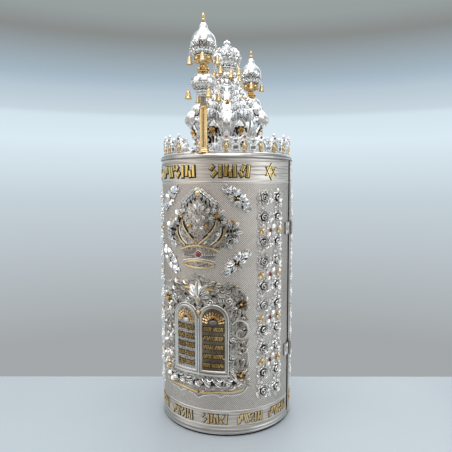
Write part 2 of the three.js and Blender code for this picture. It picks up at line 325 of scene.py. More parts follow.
def newMaterial(name):
    # the material, the sheet its nodes are laid on, and its shader
    material = bpy.data.materials.new(name)
    material.use_nodes = True
    return material, Sheet(material.node_tree), material.node_tree.nodes["Principled BSDF"]


def makeOxideGroup():
    # black sulphide that stays in the hollows where the polishing cloth can't reach
    group, s, given, gives = newGroup(
        "oxideInHollows", {"Open": 1.0, "Height": 1.0, "Strength": 1.0, "Scale": 300.0}, ("Oxide", "Tone"))
    place = s.place()
    cloud = s.noise(place, given.outputs["Scale"], 3.0)
    hidden = s.span(given.outputs["Open"], 0.22, 0.66, 1.0, 0.0)
    low = s.span(given.outputs["Height"], 0.0, 1.0, 1.0, 0.0)
    both = s.sum("MAXIMUM", hidden, low)
    torn = s.sum("MULTIPLY", both, s.span(cloud, 0.30, 0.55, 0.55, 1.15))
    s.links.new(s.sum("MULTIPLY", torn, given.outputs["Strength"]), gives.inputs["Oxide"])
    broad = s.noise(place, 22.0, 2.0)
    s.links.new(s.span(broad, 0.3, 0.7, 0.0, 1.0), gives.inputs["Tone"])
    return group


def makeHandWorkGroup():
    # planishing dimples and fine polishing scratches
    group, s, given, gives = newGroup("handWork", {"Dimples": 160.0, "Scratches": 900.0}, ("Height", "Scuff"))
    place = s.place()
    dimple = s.add("ShaderNodeTexVoronoi", {"Vector": place, "Scale": given.outputs["Dimples"]}, feature="SMOOTH_F1")
    scratch = s.add("ShaderNodeTexNoise", {"Vector": place, "Scale": given.outputs["Scratches"], "Detail": 4.0})
    height = s.sum("ADD", dimple.outputs["Distance"], s.sum("MULTIPLY", scratch.outputs[0], 0.35))
    s.links.new(height, gives.inputs["Height"])
    s.links.new(scratch.outputs[0], gives.inputs["Scuff"])
    return group


oxideGroup = makeOxideGroup()
handWorkGroup = makeHandWorkGroup()


def finish(name, clean, warm, oxide, smooth, rough, reach=3.0, strength=1.0, ground=None, dents=0.02, dimples=160.0,
           punched=0.0, streaks=0.0):
    # metal with a clean colour, a slightly warmer one, and oxide in its hollows
    # reach: how far a hollow is felt, in mm; ground: (low, high) height over the sheet where the oxide ends, in mm
    # punched: how dark the lines between the dimples are; streaks: how strong the turning marks are
    material, s, shader = newMaterial(name)
    shader.inputs["Metallic"].default_value = 1.0
    openness = s.add("ShaderNodeAmbientOcclusion", {"Distance": reach * mm}, samples=6, only_local=True)
    hollow = s.add("ShaderNodeGroup", {}, node_tree=oxideGroup)
    s.links.new(openness.outputs["AO"], hollow.inputs["Open"])
    hollow.inputs["Strength"].default_value = strength
    if ground:
        place = s.place()
        flat = s.stretched(place, (1, 1, 0))
        radius = s.add("ShaderNodeVectorMath", {0: flat}, operation="LENGTH").outputs["Value"]
        low, high = (caseRadius + edge for edge in ground)
        s.links.new(s.span(radius, low * mm, high * mm), hollow.inputs["Height"])
    hand = s.add("ShaderNodeGroup", {"Dimples": dimples}, node_tree=handWorkGroup)
    metalColour = s.mix(hollow.outputs["Tone"], clean, warm)
    if streaks:
        marks = s.noise(s.stretched(s.place(), (4, 4, 500)), 1.0, 3.0)
        metalColour = s.mix(s.span(marks, 0.42, 0.62, 0.0, streaks), metalColour, oxide)
    if punched:
        metalColour = s.mix(s.span(hand.outputs["Height"], 0.50, 0.85, 0.0, punched), metalColour, oxide)
    s.links.new(s.mix(hollow.outputs["Oxide"], metalColour, oxide), shader.inputs["Base Color"])
    scuffed = s.span(hand.outputs["Scuff"], 0.35, 0.65, smooth, smooth + 0.10)
    dull = s.sum("MULTIPLY", hollow.outputs["Oxide"], rough)
    s.links.new(s.sum("ADD", scuffed, dull), shader.inputs["Roughness"])
    s.links.new(s.bump(hand.outputs["Height"], 0.5, dents * mm * 10), shader.inputs["Normal"])
    return material


black = (0.022, 0.020, 0.019, 1)
chasedSilver = finish("chased silver", (0.95, 0.94, 0.92, 1), (0.88, 0.86, 0.83, 1), black, 0.27, 0.30,
                      reach=2.6, ground=(0.1, 0.75), strength=1.0)
crownSilver = finish("crown silver", (0.96, 0.97, 0.98, 1), (0.91, 0.92, 0.93, 1), black, 0.32, 0.30,
                     reach=2.0, strength=0.55)
brightSilver = finish("bright silver", (0.96, 0.97, 0.98, 1), (0.92, 0.93, 0.94, 1), black, 0.15, 0.30,
                      reach=2.0, strength=0.6, dimples=90.0)
brushedSilver = finish("brushed silver", (0.76, 0.74, 0.71, 1), (0.62, 0.59, 0.56, 1), black, 0.28, 0.30,
                       reach=2.0, strength=0.8, dimples=60.0, streaks=0.5)
agedSilver = finish("aged silver", (0.62, 0.57, 0.51, 1), (0.46, 0.41, 0.35, 1), black, 0.30, 0.25,
                    reach=2.4, strength=0.85)
oxidisedSilver = finish("oxidised silver", (0.40, 0.37, 0.33, 1), (0.19, 0.17, 0.15, 1), black, 0.36, 0.2,
                        reach=2.6, strength=0.85)
stippledSilver = finish("stippled silver", (0.60, 0.56, 0.51, 1), (0.46, 0.42, 0.37, 1), black, 0.32, 0.2,
                        reach=2.6, strength=0.9, dimples=330.0, dents=0.05, punched=0.75)
brownField = finish("brown field", (0.22, 0.175, 0.125, 1), (0.13, 0.10, 0.07, 1), black, 0.36, 0.2, reach=2.0,
                    strength=0.85, dimples=330.0, punched=0.4)
blackGround = finish("black ground", (0.05, 0.042, 0.035, 1), (0.03, 0.026, 0.022, 1), black, 0.42, 0.2, reach=2.0,
                     strength=0.8)
giltSilver = finish("gilt silver", (0.88, 0.71, 0.42, 1), (0.76, 0.52, 0.24, 1), (0.08, 0.045, 0.02, 1), 0.18, 0.3,
                    reach=2.5, strength=0.8)
wornSilver = finish("worn silver", (0.84, 0.81, 0.77, 1), (0.70, 0.66, 0.61, 1), black, 0.26, 0.25, reach=2.4,
                    strength=0.9)
yellowGilt = finish("yellow gilt", (0.90, 0.73, 0.30, 1), (0.76, 0.56, 0.18, 1), (0.08, 0.05, 0.02, 1), 0.20, 0.3,
                    reach=2.0, strength=0.8)
agedGilt = finish("aged gilt", (0.60, 0.40, 0.16, 1), (0.42, 0.26, 0.09, 1), (0.03, 0.018, 0.01, 1), 0.28, 0.25,
                  reach=2.0, strength=0.95)


def makeRedStone(name, colour):
    material, s, shader = newMaterial(name)
    place = s.place()
    cloud = s.noise(place, 350.0, 2.0)
    deep = tuple(c * 0.25 for c in colour[:3]) + (1,)
    s.links.new(s.mix(s.span(cloud, 0.35, 0.65), deep, colour), shader.inputs["Base Color"])
    s.links.new(s.span(cloud, 0.3, 0.7, 0.04, 0.12), shader.inputs["Roughness"])
    shader.inputs["Coat Weight"].default_value = 1.0
    shader.inputs["Coat Roughness"].default_value = 0.03
    return material


garnet = makeRedStone("garnet", (0.30, 0.012, 0.006, 1))
carnelian = makeRedStone("carnelian", (0.62, 0.10, 0.02, 1))


def makeSheetSilver():
    # hatched ground, rolled with a tool in two crossing slants, and two plain brushed bands
    material, s, shader = newMaterial("hatched silver sheet")
    shader.inputs["Metallic"].default_value = 1.0
    place = s.place()
    axes = s.add("ShaderNodeSeparateXYZ", {0: place}).outputs
    angle = s.sum("ARCTAN2", axes["X"], s.sum("MULTIPLY", axes["Y"], -1.0))
    cutsAround, cutHeight = hatching["cutsAround"], 2 * math.pi / (hatching["rise"] * mm)
    around = s.sum("MULTIPLY", angle, float(cutsAround))
    up = s.sum("MULTIPLY", axes["Z"], cutHeight)
    falling = s.sum("SINE", s.sum("ADD", around, up))
    rising = s.sum("SINE", s.sum("SUBTRACT", around, s.sum("MULTIPLY", up, 1.3)))
    cuts = s.sum("ADD", s.sum("MULTIPLY", falling, 0.5), s.sum("MULTIPLY", rising, 0.22))
    aboveFoot = s.span(axes["Z"], hatching["low"] * mm, (hatching["low"] + 1) * mm)
    belowTop = s.span(axes["Z"], (hatching["high"] - 1) * mm, hatching["high"] * mm, 1.0, 0.0)
    hatched = s.sum("MULTIPLY", aboveFoot, belowTop)
    broad = s.noise(place, 9.0, 5.0)
    fine = s.noise(place, 700.0, 3.0)
    drawn = s.stretched(place, (1, 1, 40))
    brushed = s.noise(drawn, 14.0, 4.0)
    clean = s.mix(s.span(broad, 0.35, 0.65), (0.93, 0.87, 0.81, 1), (0.82, 0.76, 0.70, 1))
    groove = s.sum("MULTIPLY", s.span(cuts, -0.55, 0.35, 0.92, 0.0), hatched)
    speck = s.sum("MULTIPLY", s.span(fine, 0.50, 0.72, 0.0, 0.5), hatched)
    streak = s.sum("MULTIPLY", s.span(brushed, 0.42, 0.66, 0.10, 0.62), s.sum("SUBTRACT", 1.0, hatched))
    stained = s.mix(s.sum("MAXIMUM", s.sum("MAXIMUM", groove, speck), streak), clean, (0.15, 0.125, 0.10, 1))
    s.links.new(stained, shader.inputs["Base Color"])
    plain = s.span(brushed, 0.3, 0.7, 0.42, 0.56)
    s.links.new(s.sum("ADD", plain, s.sum("MULTIPLY", hatched, 0.02)), shader.inputs["Roughness"])
    height = s.sum("ADD", s.sum("MULTIPLY", cuts, hatched), s.sum("MULTIPLY", brushed, 0.25))
    s.links.new(s.bump(height, 0.7, 0.35 * mm), shader.inputs["Normal"])
    return material


hatching = {"cutsAround": 250, "rise": 4.2, "low": 52.5, "high": 499.0}
sheetSilver = makeSheetSilver()


def makeWood():
    material, s, shader = newMaterial("dark case wood")
    place = s.place()
    along = s.stretched(place, (14, 14, 1.2))
    grain = s.noise(along, 9.0, 8.0, Distortion=0.8)
    pores = s.noise(along, 60.0, 3.0)
    colour = s.mix(s.span(grain, 0.35, 0.65), (0.014, 0.009, 0.007, 1), (0.042, 0.024, 0.016, 1))
    s.links.new(s.mix(s.span(pores, 0.55, 0.7), colour, (0.010, 0.007, 0.006, 1)), shader.inputs["Base Color"])
    s.links.new(s.span(grain, 0.3, 0.7, 0.55, 0.70), shader.inputs["Roughness"])
    shader.inputs["Specular IOR Level"].default_value = 0.25
    s.links.new(s.bump(pores, 0.35, 0.0004), shader.inputs["Normal"])
    return material


caseWood = makeWood()
print("finishes mixed")


# camera, lights and floor
floorSizes = {"nearer": 0.80, "wide": 2.6, "deep": 1.9}   # in metres
cameraPlace = {"azimuth": 22.9, "distance": 1.007, "height": 0.4875, "down": 4.62, "lens": 36.4, "drift": 0.1}
# the room's colours by the height of the direction: beyond the case, and warmer and darker behind the camera
roomFront = ((-0.30, (0.37, 0.39, 0.40)), (-0.02, (0.56, 0.64, 0.69)), (0.10, (0.71, 0.83, 0.90)),
             (0.150, (0.66, 0.78, 0.85)), (0.158, (0.57, 0.67, 0.73)), (0.20, (0.48, 0.58, 0.66)),
             (0.225, (0.38, 0.48, 0.56)), (0.29, (0.27, 0.30, 0.31)), (0.303, (0.25, 0.265, 0.26)),
             (0.34, (0.31, 0.345, 0.345)), (0.50, (0.36, 0.39, 0.39)), (0.95, (0.80, 0.82, 0.84)))
roomBehind = ((-0.30, (0.26, 0.235, 0.21)), (0.05, (0.23, 0.205, 0.18)), (0.35, (0.30, 0.29, 0.28)),
              (0.85, (0.62, 0.63, 0.64)))


def roomRamp(s, height, stops):
    # a colour ramp over the height of the direction
    low, high = -0.3, 1.0
    node = s.add("ShaderNodeValToRGB", {0: s.add("ShaderNodeMapRange", {0: height, 1: low, 2: high}).outputs[0]})
    ramp = node.color_ramp
    for (level, colour), element in zip((stops[0], stops[-1]), ramp.elements):
        element.position, element.color = (level - low) / (high - low), (*colour, 1)
    for level, colour in stops[1:-1]:
        ramp.elements.new((level - low) / (high - low)).color = (*colour, 1)
    return node.outputs[0]


def setStage():
    floor = fresh(bpy.ops.mesh.primitive_plane_add, size=1)
    floor.name = "floor"
    turn = turnBy(cameraPlace["azimuth"])
    floor.data.transform(turn @ Matrix.Translation((0, -floorSizes["nearer"], 0))
                         @ Matrix.Diagonal((floorSizes["wide"], floorSizes["deep"], 1, 1)))
    material, s, shader = newMaterial("pale shelf")
    place = s.place()
    cloud = s.noise(place, 3.0, 2.0)
    s.links.new(s.mix(cloud, (0.43, 0.485, 0.53, 1), (0.475, 0.53, 0.575, 1)), shader.inputs["Base Color"])
    shader.inputs["Roughness"].default_value = 0.5
    floor.data.materials.append(material)
    world = bpy.data.worlds.new("studio")
    bpy.context.scene.world = world
    world.use_nodes = True
    s = Sheet(world.node_tree)
    direction = s.add("ShaderNodeTexCoord").outputs["Generated"]
    axes = s.add("ShaderNodeSeparateXYZ", {0: direction}).outputs
    front, behind = roomRamp(s, axes["Z"], roomFront), roomRamp(s, axes["Z"], roomBehind)
    background = world.node_tree.nodes["Background"].inputs
    s.links.new(s.mix(s.span(axes["Y"], -0.45, 0.25), behind, front), background["Color"])
    background["Strength"].default_value = 1.0


lamps = {
    # name: (azimuth, height, distance, width, watts, colour), all aimed at the middle of the case
    "left softbox": (-45, 1.15, 1.9, 1.9, 12.2, (1.0, 0.985, 0.96)),
    "right softbox": (85, 0.85, 2.0, 1.5, 9.5, (0.95, 0.98, 1.0)),
    "front strip": (30, 1.95, 1.9, 1.6, 11, (1.0, 0.99, 0.97)),
    "top panel": (0, 2.2, 0.15, 1.4, 22, (1.0, 1.0, 0.99)),
    "back softbox": (190, 1.3, 2.0, 1.8, 12, (0.97, 0.99, 1.0)),
}


def aim(piece, target):
    piece.rotation_euler = (target - piece.location).to_track_quat("-Z", "Y").to_euler()


def hangLamps():
    for name, (azimuth, height, distance, width, watts, colour) in lamps.items():
        turn = math.radians(azimuth)
        place = (distance * math.sin(turn), -distance * math.cos(turn), height)
        bpy.ops.object.light_add(type="AREA", location=place)
        lamp = bpy.context.active_object
        lamp.name = name
        lamp.data.shape = "RECTANGLE"
        lamp.data.size, lamp.data.size_y = width, width * 1.2
        lamp.data.energy, lamp.data.color = watts, colour
        aim(lamp, Vector((0, 0, 0.42)))


def setCamera():
    turn = math.radians(cameraPlace["azimuth"])
    far = cameraPlace["distance"]
    bpy.ops.object.camera_add(location=(far * math.sin(turn), -far * math.cos(turn), cameraPlace["height"]))
    camera = bpy.context.active_object
    camera.data.lens, camera.data.sensor_width = cameraPlace["lens"], 36
    camera.data.clip_start = 0.01
    tilt = math.radians(90 - cameraPlace["down"])
    camera.rotation_euler = (tilt, 0, turn + math.radians(cameraPlace["drift"]))
    bpy.context.scene.camera = camera


setStage()
hangLamps()
setCamera()
bpy.context.scene.view_settings.view_transform = "Standard"
print("stage set")


# the case: sheet, foot, top
def halfArc(gap, radius):
    # degrees each end of a half turn stops short of the seam
    return math.degrees(math.asin(gap / radius))


def halfTurned(name, half, profile, gap, steps=72):
    radius = max(place[0] for place in profile)
    short = halfArc(gap, radius)
    piece = turned(name, profile, steps=steps, arc=180 - 2 * short, start=-short)
    piece.data.transform(turnBy(halfTurns[half]))
    return piece


def rounded(corners, radius, steps=4):
    # a closed profile with its corners rounded; a corner of (r, z, 0) stays sharp
    path = []
    count = len(corners)
    for i, corner in enumerate(corners):
        here = Vector(corner[:2])
        bend = corner[2] if len(corner) > 2 else radius
        before, after = Vector(corners[i - 1][:2]) - here, Vector(corners[(i + 1) % count][:2]) - here
        reach = min(bend, before.length / 2, after.length / 2)
        if reach < 0.01:
            path.append(tuple(here))
            continue
        first, last = here + before.normalized() * reach, here + after.normalized() * reach
        for k in range(steps + 1):
            t = k / steps
            path.append(tuple(first * (1 - t) ** 2 + here * 2 * t * (1 - t) + last * t * t))
    return path


caseSizes = {"sheetThick": 1.1, "footLow": 4.3, "footHigh": 14.7, "plateUnder": 549.3, "plateTop": 551.6,
             "bandLines": (20.5, 51.0, 501.0, 540.5), "lineHigh": 0.55}


def makeSheet(half):
    skin = caseRadius
    inner = skin - caseSizes["sheetThick"]
    line = caseSizes["lineHigh"]
    profile = [(inner, sheetLow), (skin, sheetLow)]
    # a fine raised wire at the edge of each plain band
    for middle in caseSizes["bandLines"]:
        profile += [(skin, middle - 1.3), (skin + line, middle - 0.6), (skin + line, middle + 0.6),
                    (skin, middle + 1.3)]
    profile += [(skin, sheetHigh), (inner, sheetHigh)]
    return polish(halfTurned(half + " silver sheet", half, profile, seamGap["sheet"], 90), sheetSilver, 30)


def makeFoot(half):
    inner = caseRadius - caseSizes["sheetThick"]
    low, high = caseSizes["footLow"], caseSizes["footHigh"]
    corners = [(inner, low, 0), (caseRadius + 1.4, low, 0.6), (caseRadius + 1.6, low + 3, 1.2),
               (caseRadius + 0.7, low + 4.2, 0.8), (caseRadius + 1.5, low + 6.0, 1.5),
               (caseRadius + 1.2, high - 2.0, 1.5), (caseRadius + 0.2, high, 0.6), (inner, high, 0)]
    piece = halfTurned(half + " foot moulding", half, rounded(corners, 1.0), seamGap["sheet"], 90)
    return polish(piece, brushedSilver, 35)


def makeTopPlate(half):
    under, top = caseSizes["plateUnder"], caseSizes["plateTop"]
    edge = caseRadius + 2.8
    corners = [(1.0, under, 0), (138.9, under, 0), (138.9, 546.0, 0), (edge - 1.6, 545.9, 0.8), (edge, 547.6, 1.2),
               (edge + 0.3, 550.0, 2.0), (edge - 1.2, 553.6, 2.0), (edge - 3.8, 555.6, 1.2), (edge - 6.5, 554.6, 1.0),
               (edge - 8.5, 555.4, 1.0), (122.5, 555.4, 2.0), (120.0, 551.8, 1.5), (66.0, top, 0), (1.0, top, 0)]
    piece = halfTurned(half + " top plate", half, rounded(corners, 1.0), seamGap["plate"], 90)
    return polish(piece, brushedSilver, 35)


made = []       # (piece, body, slot, nodes it stands for)


def keep(piece, half, slot, *nodes):
    made.append((piece, half + "_half", slot, nodes))


for half in halfTurns:
    keep(makeSheet(half), half, "silver", half + "_silver_sheet")
    keep(makeFoot(half), half, "silver", half + "_base_rim")
    keep(makeTopPlate(half), half, "silver", half + "_top_plate")
print("case clad")


# motifs, one unit long or one unit in radius, face up, drawn once and copied
leafSection = [(-1, 0.1), (-0.55, 0.8), (0, 0.35), (0.55, 0.8), (1, 0.1), (0, -0.35)]
ridgeSection = [(-1, 0), (-0.7, 0.85), (0, 1.25), (0.7, 0.85), (1, 0), (0, -0.4)]
petalSection = [(-1, -0.3), (-0.9, 0.6), (0.1, 1.9), (0.85, 1.2), (1, -0.3)]


def drawLeaf(name, curl, wide=0.27, widths=(0.34, 0.80, 1.0, 0.95, 0.70, 0.26)):
    steps = len(widths) - 1
    stations, x, y = [], 0.0, 0.0
    for i in range(steps + 1):
        heading = -curl * (i / steps) ** 1.5
        stations.append((x, y, heading, wide * widths[i]))
        x += math.sin(math.radians(-heading)) / steps
        y += math.cos(math.radians(-heading)) / steps
    return drawnOut(name, leafSection, stations, angle=60)


def drawPetal(name, radius, span, size, start):
    steps, stations = 6, []
    for i in range(steps + 1):
        t = i / steps
        angle = math.radians(start + span * (t - 0.5))
        pull = 1 - 0.16 * abs(2 * t - 1) ** 2
        swell = size * (0.25 + 0.75 * math.sin(math.pi * t) ** 0.6) if 0 < t < 1 else size * 0.2
        place = (radius * pull * math.cos(angle), radius * pull * math.sin(angle))
        stations.append((*place, math.degrees(angle), swell))
    return drawnOut(name, [(-across, up) for across, up in reversed(petalSection)], stations, angle=70)


def drawBead(name, radius=1.0, tall=0.8, sides=8, rings=6):
    bead = fresh(bpy.ops.mesh.primitive_uv_sphere_add, segments=sides, ring_count=rings, radius=radius)
    bead.name = name
    startEdit(bead)
    bpy.ops.transform.resize(value=(1, 1, tall))
    endEdit()
    return polish(bead, None, 80)


def drawRose():
    # a rolled bud that shows as a spiral, and five petals round it
    roll = drawnOut("roll", petalSection, spiral(1.5, 0.60, 0.10, 14, 0.085, 0.075, 1, 30), angle=70)
    roll.data.transform(Matrix.Translation((0, 0, 0.12)))
    parts = [roll]
    for i in range(5):
        parts.append(drawPetal("outer petal", 0.92, 64, 0.12, 72 * i + 20))
    return joinAll("rose", parts)


def drawPetalRing():
    # thin turned-up petal edges that stand round a rose
    return joinAll("petal ring", [drawPetal("edge", 1.0, 54, 0.085, 72 * i) for i in range(5)])


def drawFlower(petals, petalShape):
    parts = [drawBead("eye", 0.24, 1.0, 7, 5)]
    for i in range(petals):
        petal = copyOf(petalShape, Matrix.Rotation(2 * math.pi * i / petals, 4, "Z")
                       @ Matrix.Translation((0, 0.1, 0)))
        parts.append(petal)
    return joinAll("flower", parts)


def drawScroll(name, turns, tail, clockwise=1):
    thick = 0.17
    stations = spiral(turns, 0.55, 0.13, 12, thick, thick * 0.55, clockwise, 180 if clockwise > 0 else 0)
    x, y, heading, size = stations[0]
    lead = []
    for i in range(3, 0, -1):
        back = tail * i / 3
        along = math.radians(heading)
        lead.append((x + math.sin(along) * back, y - math.cos(along) * back, heading, size * (1 - 0.28 * i)))
    body = drawnOut(name, ridgeSection, lead + stations)
    knob = drawBead("knob", thick * 1.25, 1.0, 7, 5)
    end = stations[-1]
    knob.data.transform(Matrix.Translation((end[0], end[1], thick * 0.5)))
    return joinAll(name, [body, knob])


def drawPalmette(fingers=5, spread=62, slim=0.76):
    parts = []
    for i in range(fingers):
        t = i / (fingers - 1) * 2 - 1
        reach = 1 - 0.35 * abs(t) ** 1.3
        finger = leafCurledBack if t < 0 else leafCurled if t > 0 else leafWide
        turn = turnBy(-spread * t)
        parts.append(copyOf(finger, turn @ Matrix.Diagonal((reach * slim, reach, reach * 0.9, 1))))
    parts.append(drawBead("heel", 0.12, 1.1, 7, 5))
    return joinAll("palmette", parts)


def drawDrop():
    # a pear-shaped stone, point up
    drop = fresh(bpy.ops.mesh.primitive_uv_sphere_add, segments=10, ring_count=7, radius=0.42)
    drop.name = "drop"
    startEdit(drop)
    pickPoints(drop, lambda co: co.y > 0.2)
    bpy.ops.transform.translate(value=(0, 0.42, 0))
    bpy.ops.transform.resize(value=(0.30, 0.6, 0.7), center_override=(0, 0.8, 0))
    endEdit()
    return polish(drop, None, 80)


def drawRing(name, radius=1.0, thick=0.14, around=20, section=6):
    ring = fresh(bpy.ops.mesh.primitive_torus_add, major_radius=radius, minor_radius=thick, major_segments=around,
                 minor_segments=section)
    ring.name = name
    return polish(ring, None, 80)


def drawStroke():
    # a raised bar with softened edges, one long along Y, its middle at the origin
    bar = fresh(bpy.ops.mesh.primitive_cube_add, size=1)
    bar.name = "stroke"
    bar.data.transform(Matrix.Diagonal((strokeWide, 1.0, 0.26, 1)))
    return polish(soften(bar, lambda face: face.normal.z > 0.9, 0.035), None, 30)


strokeWide = 0.16
leaf = drawLeaf("leaf", 0)
leafWide = drawLeaf("wide leaf", 0, 0.36)
leafBlunt = drawLeaf("blunt leaf", 0, 0.42, (0.25, 0.7, 1.0, 1.0, 0.45))
leafCurled = drawLeaf("curled leaf", 75)
leafCurledBack = drawLeaf("curled leaf back", -75)
leafHooked = drawLeaf("hooked leaf", 150, 0.22)
leafHookedBack = drawLeaf("hooked leaf back", -150, 0.22)
rose, petalRing = drawRose(), drawPetalRing()
bead = drawBead("bead")
grain = drawBead("grain", 1.0, 0.7, 6, 4)
flowerOfFour = drawFlower(4, leafWide)
flowerOfFive = drawFlower(5, leafBlunt)
scroll = drawScroll("scroll", 1.15, 0.75)
scrollBack = drawScroll("scroll back", 1.15, 0.75, clockwise=-1)
palmette = drawPalmette()
shell = drawPalmette(7, 80, 0.60)
frond = drawPalmette(5, 56, 0.92)
drop = drawDrop()
ring = drawRing("ring")
stroke = drawStroke()
workshop = [leaf, leafWide, leafBlunt, leafCurled, leafCurledBack, leafHooked, leafHookedBack, rose, petalRing, bead,
            grain, flowerOfFour, flowerOfFive, scroll, scrollBack, palmette, shell, frond, drop, ring, stroke]
print("motifs drawn")


mirrorOf = {leafCurled: leafCurledBack, leafHooked: leafHookedBack, scroll: scrollBack}
mirrorOf.update({back: front for front, back in mirrorOf.items()})


def handed(motif, side):
    # the motif on the right (side > 0), its mirror image on the left
    return motif if side > 0 else mirrorOf.get(motif, motif)


def pairOnPanel(motif, x, z, size, spin, material, *how):
    # stamps for a motif on flat work and, away from the middle, its mirror image
    stamps = [(motif, onPanel(x, z, size, spin, *how), material)]
    return stamps + [(handed(motif, -1), onPanel(-x, z, size, -spin, *how), material)] if x else stamps


def lay(stamps):
    # stamps: (motif, place, material)
    laid = []
    for motif, place, material in stamps:
        double = copyOf(motif, place)
        double.data.materials.clear()
        double.data.materials.append(material)
        laid.append(double)
    return laid


def easedSpan(places, steps):
    # the curve between the middle two of four places
    a, b, c, d = (Vector(place) for place in places)
    path = []
    for k in range(steps):
        t = k / steps
        curve = 0.5 * ((2 * b) + (c - a) * t + (2 * a - 5 * b + 4 * c - d) * t * t + (3 * b - a - 3 * c + d) * t ** 3)
        path.append((curve.x, curve.y))
    return path


def pulledWire(places, thick, thin=None, closed=False, cuts=5):
    # a round wire through places in space, in mm; thin is its size at the last place
    line = fresh(bpy.ops.curve.primitive_bezier_curve_add)
    curve = line.data
    curve.splines.clear()
    spline = curve.splines.new("BEZIER")
    spline.bezier_points.add(len(places) - 1)
    for i, (point, place) in enumerate(zip(spline.bezier_points, places)):
        point.co = Vector(place) * mm
        point.handle_left_type = point.handle_right_type = "AUTO"
        if thin is not None:
            point.radius = 1 + (thin / thick - 1) * i / (len(places) - 1)
    spline.use_cyclic_u = closed
    curve.resolution_u = cuts
    curve.bevel_depth = thick * mm
    curve.bevel_resolution = 1
    curve.use_fill_caps = True
    curve.dimensions = "3D"
    hold(line)
    bpy.ops.object.convert(target="MESH")
    return closeUp(bpy.context.active_object, fineMend)


def wire(points, thick, material, thin=None, closed=False, flat=0.75, lift=0.6):
    # a flattened wire through flat places (x, z) in mm, lifted off the ground
    made = pulledWire([(x, -lift, z) for x, z in points], thick, thin, closed, 6)
    made.data.transform(shift(0, -lift, 0) @ Matrix.Diagonal((1, flat, 1, 1))
                        @ shift(0, lift, 0))
    return polish(made, material, 60)


def pairedWires(rows):
    # wires on both sides of the middle, from rows of (places, thick, thin, lift, material)
    return [wire([(side * x, z) for x, z in places], thick, material, thin, lift=lift)
            for side in (-1, 1) for places, thick, thin, lift, material in rows]


def slabFrom(outline, thick):
    # a flat slab from its outline of (x, z) in mm, its face to -Y
    slab = fresh(bpy.ops.mesh.primitive_circle_add, vertices=len(outline), radius=1, fill_type="NGON")
    for point, (x, z) in zip(slab.data.vertices, outline):
        point.co = (x * mm, 0, z * mm)
    startEdit(slab)
    bpy.ops.mesh.normals_make_consistent(inside=False)
    bpy.ops.mesh.extrude_region_move(TRANSFORM_OT_translate={"value": (0, -thick * mm, 0)})
    endEdit()
    return closeUp(slab)


def plate(outline, thick, material, pitch=6.0, edge=0.5):
    # a slab cut upright for rolling, with a softened face edge
    made = slabFrom(outline, thick)
    soften(made, lambda face: face.normal.y < -0.9 and face.center.y < -thick * mm * 0.5, edge * mm)
    xs = [place[0] for place in outline]
    cutUpright(made, min(xs), max(xs), pitch)
    return polish(made, material, 35)


def smoothOutline(points, steps):
    # a closed curve through given places, mirrored about x = 0
    points = points + [(-x, z) for x, z in reversed(points) if abs(x) > 0.01]
    path, count = [], len(points)
    for i in range(count):
        path += easedSpan([points[(i + k) % count] for k in (-1, 0, 1, 2)], steps)
    return path


def inside(outline, x, z):
    hit = False
    for (x1, z1), (x2, z2) in zip(outline, outline[1:] + outline[:1]):
        if (z1 > z) != (z2 > z) and x < (x2 - x1) * (z - z1) / (z2 - z1) + x1:
            hit = not hit
    return hit


def scatter(outline, pitch, choices, material, avoid=None):
    # small motifs strewn over an outline on a jittered grid
    xs, zs = [x for x, z in outline], [z for x, z in outline]
    stamps = []
    z = min(zs) + pitch / 2
    row = 0
    while z < max(zs):
        x = min(xs) + pitch / 2 * (1 + row % 2)
        while x < max(xs):
            px, pz = x + dice.uniform(-0.25, 0.25) * pitch, z + dice.uniform(-0.25, 0.25) * pitch
            if inside(outline, px, pz) and not (avoid and avoid(px, pz)):
                motif, size, lift = dice.choice(choices)
                place = onPanel(px, pz, size * dice.uniform(0.85, 1.15), dice.uniform(0, 360), lift)
                stamps.append((motif, place, material))
            x += pitch
        z += pitch * 0.87
        row += 1
    return stamps


# flower bands
band = {"middle": 61.2, "top": 471, "groupPitch": 87.1, "groups": 5, "rosePair": 38, "jewelDrop": 64,
        "column": 17.6, "roseRadius": 12.0, "flower": 6.6, "flowerColumn": 23.5, "scrollColumn": 27.5,
        "edge": 26.5, "edgePitch": 10.4}


